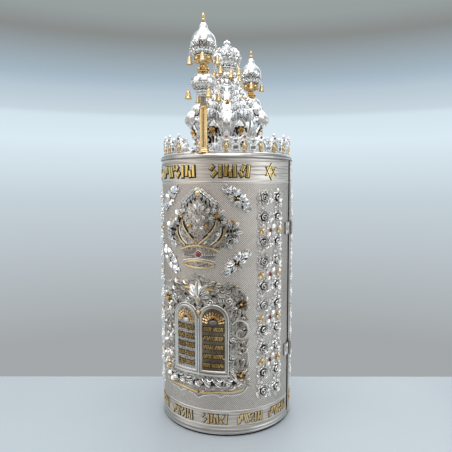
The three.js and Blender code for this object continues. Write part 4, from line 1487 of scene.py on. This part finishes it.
def makeGallery(half, way):
    g = gallery
    runs = []
    for i in range(g["arches"]):
        runs.append(rollOnto(copyOf(arch), g["inner"], halfTurns[half] + way * g["pitch"] * (i + 1.5)))
        edge = way * g["pitch"] * (i + 2)
        if i < g["arches"] - 1:
            runs.append(rollOnto(copyOf(post), g["inner"], halfTurns[half] + edge))
    # half posts at the two ends of the run
    for edge, side in ((way * g["pitch"], way), (way * 90, -way)):
        stub = copyOf(post)
        startEdit(stub)
        bpy.ops.mesh.bisect(plane_co=(side * 0.9 * mm, 0, 0), plane_no=(side, 0, 0), clear_inner=True, use_fill=True)
        endEdit()
        runs.append(rollOnto(stub, g["inner"], halfTurns[half] + edge))
    finialTurn = math.degrees(math.atan2(finialAt[half].x, -finialAt[half].y)) % 360
    off = way * ((finialTurn - halfTurns[half] + 180) % 360 - 180)
    clear = math.radians(g["bracketTurn"] - off) * (g["inner"] + 2) - 13.2
    runs.append(rollOnto(makeBracket(way, min(7.6, clear)), g["inner"], halfTurns[half] + way * g["bracketTurn"]))
    return joinAll(f"{half} gallery {'right' if way > 0 else 'left'}", runs)


finialAt = {}
for half in halfTurns:
    low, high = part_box(half + "_finial_column")
    finialAt[half] = (low + high) / 2
for half in halfTurns:
    for way, word in ((1, "right"), (-1, "left")):
        keep(makeGallery(half, way), half, "silver", f"{half}_gallery_{word}")
print("gallery raised")


# turned work on top: profiles, places on the crown, bent wires
def eased(points, steps=4):
    # an open curve through given (radius, height) places
    path, last = [], len(points) - 1
    for i in range(last):
        path += easedSpan([points[min(max(i + k, 0), last)] for k in (-1, 0, 1, 2)], steps)
    return [(max(radius, 0.0), height) for radius, height in path] + [points[-1]]


def raised(profile, foot):
    return [(radius, height + foot) for radius, height in profile]


def moulded(name, corners, soft, foot, steps, material, angle=40):
    # a turned moulding whose corners of (radius, height, rounding) stand on a foot
    return polish(turned(name, raised(rounded(corners, soft, 3), foot), steps=steps), material, angle)


def onProfile(profile, z):
    # (radius, lean) of a turned surface at a height
    for (r1, z1), (r2, z2) in zip(profile, profile[1:]):
        if z1 <= z <= z2 and z2 > z1:
            t = (z - z1) / (z2 - z1)
            return r1 + (r2 - r1) * t, math.degrees(math.atan2(r1 - r2, z2 - z1))
    return profile[-1][0], 0.0


def onTurned(profile, azimuth, z, size, spin=0.0, lift=0.0, stretch=1.0, depth=1.0, tip=0.0):
    radius, lean = onProfile(profile, z)
    out = math.radians(lean)
    return onRound(azimuth, radius + lift * math.cos(out), z + lift * math.sin(out), size, spin, lean - tip, stretch,
                   depth)


def ringed(profile, foot, count, rows):
    # stamps set round turned work, from rows of (motifs in turn, azimuth, height, size, spin, lift, depth, material)
    return [(motifs[i % len(motifs)],
             onTurned(profile, i * 360 / count + azimuth, foot + height, size, spin, lift, 1.0, depth), material)
            for i in range(count) for motifs, azimuth, height, size, spin, lift, depth, material in rows]


def bentWire(places, thick, material, thin=None):
    return polish(pulledWire(places, thick, thin), material, 60)


def around(azimuth, radius, z):
    turn = math.radians(azimuth)
    return (radius * math.sin(turn), -radius * math.cos(turn), z)


def cutAtSeam(piece, half, gap):
    # keep only what is on this half's side of the seam
    side = -1 if half == "front" else 1
    startEdit(piece)
    bpy.ops.mesh.bisect(plane_co=(0, side * gap * mm, 0), plane_no=(0, -side, 0), clear_outer=True, use_fill=True)
    endEdit()
    return piece


# crown on top
crownFoot = 551.9
crownSkin = raised(eased([(64, 10), (66, 26), (69.5, 42), (74.5, 56), (77, 66), (76.2, 77), (72, 88), (65.5, 98),
                          (57, 107), (47.5, 117), (38.5, 127.5), (31, 139), (27.5, 149)], 3), crownFoot)
crownWork = {
    # azimuths and spans in degrees; frame and stem of (degrees off, z)
    # leaves of (motif, degrees off, z, size, spin, lift, tip); acanthus of (z, size, spread); flowers of (azimuth, z)
    "ribs": (-67.5, -22.5, 22.5, 67.5), "ribArc": 12.5, "ribHigh": 2.6,
    # dark and darkSpan: heights and half width of the black window ground, painted shade for the openwork
    "windows": (-90, -45, 0, 45, 90), "dark": (578, 616), "darkSpan": 11.0,
    "frame": ((15.0, 570), (15.2, 586), (14.0, 600), (10.0, 613), (5.0, 622), (0.0, 633)),
    "stem": ((12.0, 574), (5.0, 581), (3.0, 590), (8.0, 598), (9.0, 607)),
    "leaves": ((leafCurled, 6, 574, 12, -30, 0.6, 8), (leafCurledBack, 8, 587, 11, -60, 0.6, 8),
               (leafCurled, 4, 594, 9, 30, 0.6, 8), (scroll, 9.0, 600, 5.5, 40, 0.4, 0),
               (leafHooked, 5, 612, 9, -50, 0.6, 8)),
    "acanthus": ((628, 21, 10), (645, 19, 10), (661, 17, 9), (676, 14, 9), (688, 11, 9)),
    "flowers": ((-45, 650), (0, 653), (45, 650), (-66, 672), (-22, 664), (24, 664), (66, 672)),
}


def makeRib(azimuth):
    # a broad smooth band with eased edges that follows the crown's skin
    arc = crownWork["ribArc"]
    outer = [(r + crownWork["ribHigh"], z) for r, z in crownSkin]
    rib = turned("rib", outer + [(r - 0.4, z) for r, z in reversed(crownSkin)], steps=6, arc=arc,
                 start=azimuth - 90 + arc / 2)
    hold(rib)
    edge = rib.modifiers.new("edges", "BEVEL")
    edge.limit_method, edge.angle_limit, edge.width, edge.segments = "ANGLE", math.radians(50), 1.1 * mm, 2
    bpy.ops.object.modifier_apply(modifier=edge.name)
    return polish(rib, brightSilver, 50)


def makeCrownHalf(half):
    inner = [(r - 2.6, z) for r, z in crownSkin]
    base = halfTurns[half]
    ground = halfTurned("crown ground", half, [(r - 1.0, z) for r, z in crownSkin] + inner[::-1], seamGap["crown"],
                        60)
    polish(ground, crownSilver, 60)
    # outward faces in the windows take black: painted shade where the openwork shows the dark inside
    ground.data.materials.append(blackGround)
    low, high = crownWork["dark"]
    for face in ground.data.polygons:
        turn = math.degrees(math.atan2(face.center.x, -face.center.y)) - base
        off = abs((turn + 22.5) % 45 - 22.5)
        outward = face.normal.x * face.center.x + face.normal.y * face.center.y > 0   # the inner wall stays silver
        dark = outward and low * mm < face.center.z < high * mm and off < crownWork["darkSpan"]
        face.material_index = 1 if dark else 0
    foot = [(58, 0, 0), (65.5, 0, 0.8), (66.5, 3, 1.5), (64.5, 5, 0.8), (65.8, 8, 1.5), (65, 11.5, 1.5), (61, 12, 0),
            (58, 12, 0)]
    ring = [(17, 146, 0), (27, 146.5, 1.0), (29.0, 149, 1.5), (27.0, 151, 0.6), (28.2, 153.5, 1.5), (25, 156, 1.0),
            (17, 156.5, 0)]
    waist = raised(eased([(25, 156), (20.5, 162), (18.6, 171), (18.8, 180), (20.8, 186), (22.5, 189.8)], 3),
                   crownFoot)
    parts = [ground] + [makeRib(base + azimuth) for azimuth in crownWork["ribs"]]
    for corners in (foot, ring):
        parts.append(polish(halfTurned("moulding", half, raised(rounded(corners, 1.0, 3), crownFoot),
                                       seamGap["crown"], 60), brightSilver, 40))
    throat = halfTurned("waist", half, [(16, 156 + crownFoot)] + waist + [(16, 189.8 + crownFoot)], seamGap["crown"],
                        40)
    parts.append(polish(throat, crownSilver, 50))
    stamps = []

    def put(motif, azimuth, z, size, spin=0.0, material=crownSilver, lift=0.0, stretch=1.0, depth=1.2, tip=0.0):
        stamps.append((motif, onTurned(crownSkin, base + azimuth, z, size, spin, lift, stretch, depth, tip),
                       material))

    def line(azimuth, side, course, thick, material, lift, thin=None):
        places = []
        for step, z in course:
            places.append(around(base + azimuth + side * step, onProfile(crownSkin, z)[0] + lift, z))
        parts.append(bentWire(places, thick, material, thin))

    # small leaves on the ribs and along their edges
    for azimuth in crownWork["ribs"]:
        for step in range(6):
            z = 572 + step * 23.0
            put(leaf, azimuth, z, 12 if z < 650 else 9, 0, lift=crownWork["ribHigh"] - 0.2, depth=0.9, tip=3)
            for side in (-1, 1):
                put(handed(leafCurledBack, side), azimuth + side * crownWork["ribArc"] * 0.525, z + 9, 9.5,
                    -side * 50, lift=1.4, depth=1.6, tip=8)
    # windows: dark ground as painted shade for the openwork, a bright ogee frame, a gilt flower and curling stems
    for azimuth in crownWork["windows"]:
        for side in (-1, 1):
            line(azimuth, side, crownWork["frame"], 2.9, brightSilver, 1.2, 2.0)
            line(azimuth, side, crownWork["stem"], 1.2, crownSilver, 0.6, 0.8)
            for motif, off, z, size, spin, lift, tip in crownWork["leaves"]:
                put(handed(motif, side), azimuth + side * off, z, size, side * spin, lift=lift, depth=1.6, tip=tip)
        put(flowerOfFive, azimuth, 606, 7.4, 15, giltSilver, 2.2, depth=1.8)
        put(rose, azimuth, 585, 5.6, 0, giltSilver, 1.0, depth=1.4)
        put(bead, azimuth, 571, 3.0, 0, brightSilver, 0.8)
        # broad acanthus above each window, up to the ring
        for z, size, spread in crownWork["acanthus"]:
            put(palmette, azimuth, z, size, dice.uniform(-6, 6), lift=2.0, depth=2.2, tip=16)
            for side in (-1, 1):
                put(handed(leafCurledBack, side), azimuth + side * spread, z - 4, size * 0.95, -side * 18, lift=1.4,
                    depth=2.4, tip=20)
                put(leafWide, azimuth + side * spread * 0.5, z + 6, size * 0.8, side * 14, brightSilver, 1.6,
                    depth=2.2, tip=14)
                put(handed(scroll, side), azimuth + side * spread * 1.15, z + 7, size * 0.30, side * 120, lift=1.6,
                    depth=2.0)
    for azimuth, z in crownWork["flowers"]:
        put(flowerOfFive, azimuth, z, 5.2, 10, giltSilver, 4.0, depth=2.0)
    # waist: upright leaves and a bead row
    for i in range(9):
        azimuth = base - 90 + i * 22.5
        stamps.append((leafWide, onTurned(waist, azimuth, crownFoot + 158, 17, 0, 0.2, 0.9, 1.4, 5), brightSilver))
        stamps.append((leafWide, onTurned(waist, azimuth + 11, crownFoot + 170, 16, 0, 0.2, 0.9, 1.4, -6),
                       brightSilver))
    for i in range(24):
        stamps.append((bead, onRound(base - 86 + i * 7.5, 65.6, crownFoot + 8.2, 2.3), brightSilver))
    parts += lay(stamps)
    piece = joinAll(half + " crown half", parts)
    return cutAtSeam(piece, half, 0.7)


for half in halfTurns:
    keep(makeCrownHalf(half), half, "silver", half + "_crown_half")
print("crown raised")


def drawBell():
    # a conical bell, mouth down, hung at its top; a ball clapper shows under the mouth
    outside = eased([(0, 0), (1.4, -0.4), (1.7, -1.2), (3.3, -2.6), (4.3, -6.0), (4.8, -9.5), (5.5, -12.6),
                     (6.8, -15.2)], 3)
    profile = outside + [(6.9, -15.9), (6.1, -15.9), (4.6, -12.0), (3.4, -7.0), (0, -4.5)]
    bell = polish(turned("bell", profile, steps=16), giltSilver, 50)
    clapper = drawBead("clapper", 1.3, 1.0, 8, 6)
    clapper.data.transform(shift(0, 0, -15.6) @ Matrix.Scale(mm, 4))
    polish(clapper, giltSilver, 80)
    stem = bentWire([(0, 0, -5), (0, 0, -10), (0, 0, -15)], 0.4, giltSilver)
    ring = drawRing("eye", 1.1, 0.35, 10, 5)
    ring.data.transform(shift(0, 0, 0.8) @ turnBy(90, "X") @ Matrix.Scale(mm, 4))
    polish(ring, giltSilver, 80)
    band = drawRing("band", 4.9, 0.45, 16, 5)
    band.data.transform(shift(0, 0, -10.0) @ Matrix.Scale(mm, 4))
    polish(band, brightSilver, 80)
    return joinAll("bell", [bell, clapper, stem, ring, band])


def drawLink():
    link = drawRing("link", 1.15, 0.32, 10, 5)
    link.data.transform(turnBy(90, "X") @ Matrix.Diagonal((0.8, 1.25, 1, 1)) @ Matrix.Scale(mm, 4))
    return polish(link, crownSilver, 80)


bell, link = drawBell(), drawLink()
workshop += [bell, link]


def hungBell(reach, bellTop, armHeight, armEnd):
    # a bell and its chain under a curled hook, out along -Y
    parts = [copyOf(bell, shift(0, -reach, bellTop))]
    count = max(1, round((armHeight - bellTop - 2) / 2.3))
    for i in range(count):
        z = bellTop + 2.4 + i * (armHeight - bellTop - 2.6) / count
        place = shift(0, -reach, z) @ turnBy(90 * (i % 2))
        parts.append(copyOf(link, place))
    hook = [(0, -armEnd, armHeight - 1.6), (0, -(armEnd + reach) / 2 - 0.6, armHeight + 0.8),
            (0, -reach - 1.0, armHeight + 0.6), (0, -reach - 0.9, armHeight - 1.0), (0, -reach, armHeight - 1.4)]
    parts.append(bentWire(hook, 0.65, giltSilver, 0.5))
    return joinAll("hung bell", parts)


# orb over the crown
def makeOrb():
    foot = 742.2
    body = raised(eased([(12, 0), (18.5, 6), (23.0, 13), (25.2, 20), (24.8, 27), (21.5, 35), (15.5, 41.5), (9.5, 46),
                         (6.0, 49.5), (5.0, 53)], 3),
                  foot)
    skin = polish(turned("orb", [(0, foot)] + body + [(0, foot + 53)], steps=48), crownSilver, 60)
    rim = [(12, 0, 0), (22.5, 0.2, 0.6), (23.6, 2.0, 1.2), (21.0, 4.0, 0.8), (12, 4.2, 0)]
    parts = [skin, moulded("rim", rim, 0.8, foot, 48, brightSilver)]
    stamps = []
    for row, (z, count, size) in enumerate(((foot + 6, 16, 9.5), (foot + 14, 18, 10), (foot + 22, 18, 10),
                                            (foot + 30, 14, 9.5), (foot + 37, 10, 8.5))):
        for i in range(count):
            azimuth = (i + 0.5 * (row % 2)) * 360 / count
            motif = dice.choice((palmette, leafWide, leafCurled, leafCurledBack))
            stamps.append((motif, onTurned(body, azimuth, z, size, dice.uniform(-15, 15), 0.2, 1.0, 1.7,
                                           dice.uniform(6, 14)),
                           crownSilver))
    stamps += ringed(body, foot, 8, [((bead,), 10, 20, 2.6, 0, 2.6, 1.0, giltSilver),
                                     ((bead,), 0, 47, 2.0, 0, 1.0, 1.0, brightSilver)])
    # the cluster of beads on top
    for i in range(5):
        stamps.append((bead, onRound(i * 72 + 23, 4.4, foot + 56.5, 3.5, depth=1.25), brightSilver))
    stamps.append((bead, onRound(0, 0, foot + 59.8, 3.6, depth=1.2), brightSilver))
    parts += lay(stamps)
    for i in range(8):
        hung = hungBell(28.5, foot + 2.5 - 9 * (i % 2), foot + 9.0, 20.5)
        hung.data.transform(turnBy(i * 45 - 4))
        parts.append(hung)
    return joinAll("crown orb", parts)


keep(makeOrb(), "front", "silver", "crown_orb")
print("orb set")


# finials
globeFoot, cupFoot, bulbFoot, tipFoot = 645.2, 707.5, 737.8, 798.1
globeSkin = raised(eased([(9.5, 28), (15.6, 30.4), (20.8, 34.8), (23.4, 40.5), (23.7, 45.5), (22.3, 51), (18.4, 55.8),
                          (13.6, 58.8), (10.6, 60.6), (9.8, 61.9)], 3), globeFoot)
bulbSkin = raised(eased([(13.5, 0), (18.5, 6), (21.8, 13), (23.4, 21), (23.5, 27.5), (21.4, 34.5), (17.0, 40.2),
                         (12.8, 44), (9.7, 48), (7.9, 53), (7.3, 55)], 3), bulbFoot)


def makeColumn():
    foot = rimTop + 0.3
    corners = [(0, 0, 0), (12, 0, 0), (12.2, 2.4, 1.2), (10.6, 3.6, 0.6), (11.0, 5.2, 1.0), (8.6, 7.4, 0.8),
               (9.2, 9.0, 0.8), (7.6, 10.4, 0.4), (0, 10.4, 0)]
    parts = [moulded("foot", corners, 0.8, foot, 32, giltSilver)]
    clearBench()
    bpy.ops.mesh.primitive_cylinder_add(vertices=64, radius=7.6 * mm, depth=76 * mm,
                                        location=(0, 0, (foot + 48) * mm))
    shaft = settle(bpy.context.active_object)
    for point in shaft.data.vertices:
        angle = math.atan2(point.co.y, point.co.x)
        depth = 1 - 0.20 * abs(math.sin(angle * 4)) ** 0.8
        point.co.x, point.co.y = point.co.x * depth, point.co.y * depth
    parts.append(polish(shaft, giltSilver, 45))
    head = [(0, 84, 0), (7.8, 84, 0.5), (8.6, 85.6, 0.9), (7.6, 87.0, 0.4), (9.0, 88.9, 0.7), (0, 88.9, 0)]
    parts.append(moulded("head", head, 0.5, foot, 32, giltSilver))
    return joinAll("column", parts)


def makeGlobe():
    neck = [(0, 0, 0), (6.6, 0, 0), (6.9, 2, 0.8), (5.2, 4, 0.8), (4.8, 15, 2), (6.4, 18.5, 1.5), (13.6, 20, 0.8),
            (14.2, 22, 1), (10.5, 23.4, 0.6), (15.6, 25.2, 0.8), (15.8, 27.2, 1), (9.5, 28.4, 0.5), (0, 29, 0)]
    parts = [moulded("neck", neck, 0.8, globeFoot, 40, crownSilver, 45)]
    parts[0].data.materials.append(oxidisedSilver)
    for face in parts[0].data.polygons:
        face.material_index = 1 if face.center.z < (globeFoot + 17) * mm else 0
    skin = turned("globe", [(0, globeSkin[0][1])] + globeSkin + [(0, globeSkin[-1][1])], steps=48)
    polish(skin, brightSilver, 60)
    skin.data.materials.append(wornSilver)
    for face in skin.data.polygons:
        face.material_index = 1 if (globeFoot + 29.5) * mm < face.center.z < (globeFoot + 42.5) * mm else 0
    parts.append(skin)
    stamps = ringed(globeSkin, globeFoot, 16, [
        ((scrollBack, scroll), 0, 38.5, 4.2, 180, 0.1, 1.3, crownSilver),
        ((scroll, scrollBack), 11, 33.0, 3.8, 0, 0.1, 1.3, crownSilver),
        ((grain,), 11, 39.5, 1.4, 0, 0.2, 1.0, brightSilver),
        ((leaf,), 0, 31.0, 3.6, 0, 0.2, 1.0, oxidisedSilver)])
    stamps += ringed(globeSkin, globeFoot, 24, [((bead,), 0, 43.4, 1.2, 0, 0.1, 1.0, brightSilver)])
    for i in range(24):
        stamps.append((bead, onRound(i * 15, 15.2, globeFoot + 26.2, 1.3), brightSilver))
    return joinAll("globe", parts + lay(stamps))


def makeCup():
    outside = eased([(12.4, 0), (12.2, 1.2), (9.6, 3.6), (7.6, 8.0), (6.2, 12.5)], 3) + \
              eased([(7.4, 13.6), (6.4, 15.0), (8.0, 18.0), (11.4, 23.0), (14.8, 26.5), (17.6, 28.4)], 3)
    profile = [(0, 0)] + outside + [(17.4, 29.4), (15.0, 28.6), (10.0, 25.5), (0, 25.5)]
    parts = [polish(turned("cup", raised(profile, cupFoot), steps=40), giltSilver, 45)]
    stamps = ringed(raised(outside[11:], cupFoot), cupFoot, 10, [
        ((leafBlunt,), 0, 17.2, 13.5, 0, 0.4, 1.5, giltSilver),
        ((bead,), 18, 26.6, 1.7, 0, 0.5, 1.0, giltSilver)])
    for i in range(10):
        stamps.append((leaf, onRound(i * 36 + 18, 11.6, cupFoot + 1.4, 9.0, 0, 26, 1.0, 1.2), giltSilver))
    return joinAll("cup", parts + lay(stamps))


def makeBulb():
    skin = turned("bulb", [(0, bulbSkin[0][1])] + bulbSkin + [(0, bulbSkin[-1][1])], steps=48)
    polish(skin, brightSilver, 60)
    skin.data.materials.append(oxidisedSilver)
    for face in skin.data.polygons:
        face.material_index = 1 if face.center.z < (bulbFoot + 21.5) * mm else 0
    collar = [(0, 53, 0), (7.5, 53.4, 0.6), (8.0, 55.6, 1.0), (6.4, 57.6, 0.8), (5.2, 59.8, 0.5), (0, 59.8, 0)]
    parts = [skin, moulded("collar", collar, 0.6, bulbFoot, 32, brightSilver, 45)]
    stamps = ringed(bulbSkin, bulbFoot, 12, [
        ((palmette,), 0, 2.5, 11.0, 0, 0.3, 1.3, crownSilver),
        ((scrollBack, scroll), 15, 10.5, 4.8, 0, 0.1, 1.3, crownSilver),
        ((flowerOfFour,), 0, 17.5, 3.6, 45, 0.4, 1.4, brightSilver),
        ((leaf,), 15, 14.5, 5.5, 0, 0.2, 1.3, crownSilver),
        ((grain,), 15, 3.0, 1.5, 0, 0.2, 1.0, crownSilver)])
    # the scalloped edge where the plain top begins
    for i in range(16):
        places = []
        for k in range(5):
            z = bulbFoot + 21.5 + 3.0 * math.sin(math.pi * k / 4)
            places.append(around(i * 22.5 + 5.625 * k, onProfile(bulbSkin, z)[0] + 0.2, z))
        stamps.append((bead, onTurned(bulbSkin, i * 22.5, bulbFoot + 21.2, 1.2, 0, 0.2), brightSilver))
        parts.append(bentWire(places, 0.6, brightSilver))
    return joinAll("bulb", parts + lay(stamps))


def makeTip():
    profile = eased([(4.2, 0), (3.0, 1.2), (2.2, 2.2)], 2) + eased([(3.4, 3.0), (4.3, 5.0), (3.4, 7.0), (1.7, 7.9)],
                                                                   3) + \
              eased([(2.3, 8.6), (1.6, 9.4), (2.3, 11.0), (2.8, 13.4), (2.2, 15.6), (1.2, 17.0), (0.7, 19.6)], 2)
    tip = turned("tip", raised([(0, 0)] + profile + [(0, 20.0)], tipFoot), steps=20)
    return polish(tip, giltSilver, 50)


bellTiers = {
    "upper": {"reach": 26, "bellTop": 738, "armHeight": 750, "armEnd": 20.6},
    "lower": {"reach": 30, "bellTop": 672, "armHeight": 683, "armEnd": 19.4},
}


def makeFinial(half):
    stand = Matrix.Translation((finialAt[half].x, finialAt[half].y, 0))
    for word, make, slot in (("column", makeColumn, "gilt_silver"), ("globe", makeGlobe, "silver"),
                             ("cup", makeCup, "gilt_silver"), ("bulb", makeBulb, "silver"),
                             ("tip", makeTip, "gilt_silver")):
        piece = make()
        piece.name = f"{half} finial {word}"
        piece.data.transform(stand @ turnBy(halfTurns[half]))
        keep(piece, half, slot, f"{half}_finial_{word}")
    for tier, sizes in bellTiers.items():
        for i in range(4):
            hung = hungBell(sizes["reach"], sizes["bellTop"], sizes["armHeight"], sizes["armEnd"])
            hung.name = f"{half} {tier} bell {i + 1}"
            node = f"{half}_{tier}_bell_{i + 1}"
            low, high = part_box(node)
            away = (low + high) / 2 - finialAt[half]
            hung.data.transform(stand @ Matrix.Rotation(math.atan2(away.x, -away.y), 4, "Z"))
            keep(hung, half, "gilt_silver", node)


for half in halfTurns:
    makeFinial(half)
print("finials raised")


# fittings on the seam
hingeWork = {"middles": (408, 151.5), "wide": 18.0, "high": 24.6, "angle": 84.6, "lift": 2.2}
seamLip = {"angle": 88.9, "wide": 1.8, "low": 15.0, "high": 545.5, "proud": 0.9}


def makeHingeWork(half):
    # a framed rosette on each hinge leaf
    w = hingeWork
    pieces = []
    for middle in w["middles"]:
        x, z = w["wide"] / 2 - 0.9, w["high"] / 2 - 0.9
        frameLine = [(-x, middle - z), (x, middle - z), (x, middle + z), (-x, middle + z)]
        sides = []
        for (x1, z1), (x2, z2) in zip(frameLine, frameLine[1:] + frameLine[:1]):
            sides.append(wire([(x1, z1), ((x1 + x2) / 2, (z1 + z2) / 2), (x2, z2)], 1.1, wornSilver, lift=0.3,
                              flat=1.0))
        stamps = [(rose, onPanel(0, middle, 4.6, dice.uniform(0, 360), 0.2, 1.0, 0.9), wornSilver)]
        for x1, z1 in frameLine:
            spin = math.degrees(math.atan2(x1, middle - z1)) + 180
            stamps.append((leafWide, onPanel(x1 * 0.35, middle + (z1 - middle) * 0.35, 8.5, spin, 0.1, 1.0, 0.6),
                           wornSilver))
            stamps.append((bead, onPanel(x1, z1, 1.5, 0, 0.5), wornSilver))
        for up in (-1, 1):
            stamps.append((leaf, onPanel(0, middle + up * 5, 6.0, 0 if up > 0 else 180, 0.1, 1.0, 0.9), wornSilver))
        pieces += sides + lay(stamps)
    side = 1 if half == "front" else -1
    return rollOnto(joinAll(half + " hinge rosettes", pieces), caseRadius + w["lift"],
                    halfTurns[half] + side * w["angle"])


def makeSeamLips(half):
    # the dark lip that shows along each edge of the sheet
    lip = seamLip
    lips = []
    for side in (-1, 1):
        strip = block(-lip["wide"] / 2, lip["wide"] / 2, lip["low"], lip["high"], -0.4, lip["proud"], blackGround,
                      0.3)
        lips.append(rollOnto(strip, caseRadius, halfTurns[half] + side * lip["angle"]))
    return joinAll(half + " seam lips", lips)


for half in halfTurns:
    keep(makeHingeWork(half), half, "silver")
    keep(makeSeamLips(half), half, "silver")
print("hinges dressed")


# hand over
for motif in workshop:
    bpy.data.objects.remove(motif)
cadFinish = {"case_wood": caseWood, "silver": crownSilver, "gilt_silver": giltSilver}
replaced = {node for piece, body, slot, nodes in made for node in nodes}
slots = {part["node"]: part["material_slot"] for part in frame["record"]["subparts"]}
for name, node in frame["nodes"].items():
    if name not in replaced:
        node.data.materials.clear()
        onSeam = "hinge" in name or "clasp" in name
        node.data.materials.append(oxidisedSilver if onSeam else cadFinish[slots[name]])
for piece, body, slot, nodes in made:
    piece.name = piece.name.replace(" ", "_")
    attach(piece, body)
    if nodes:
        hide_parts(*nodes)
print("handed over", len(made), "pieces")
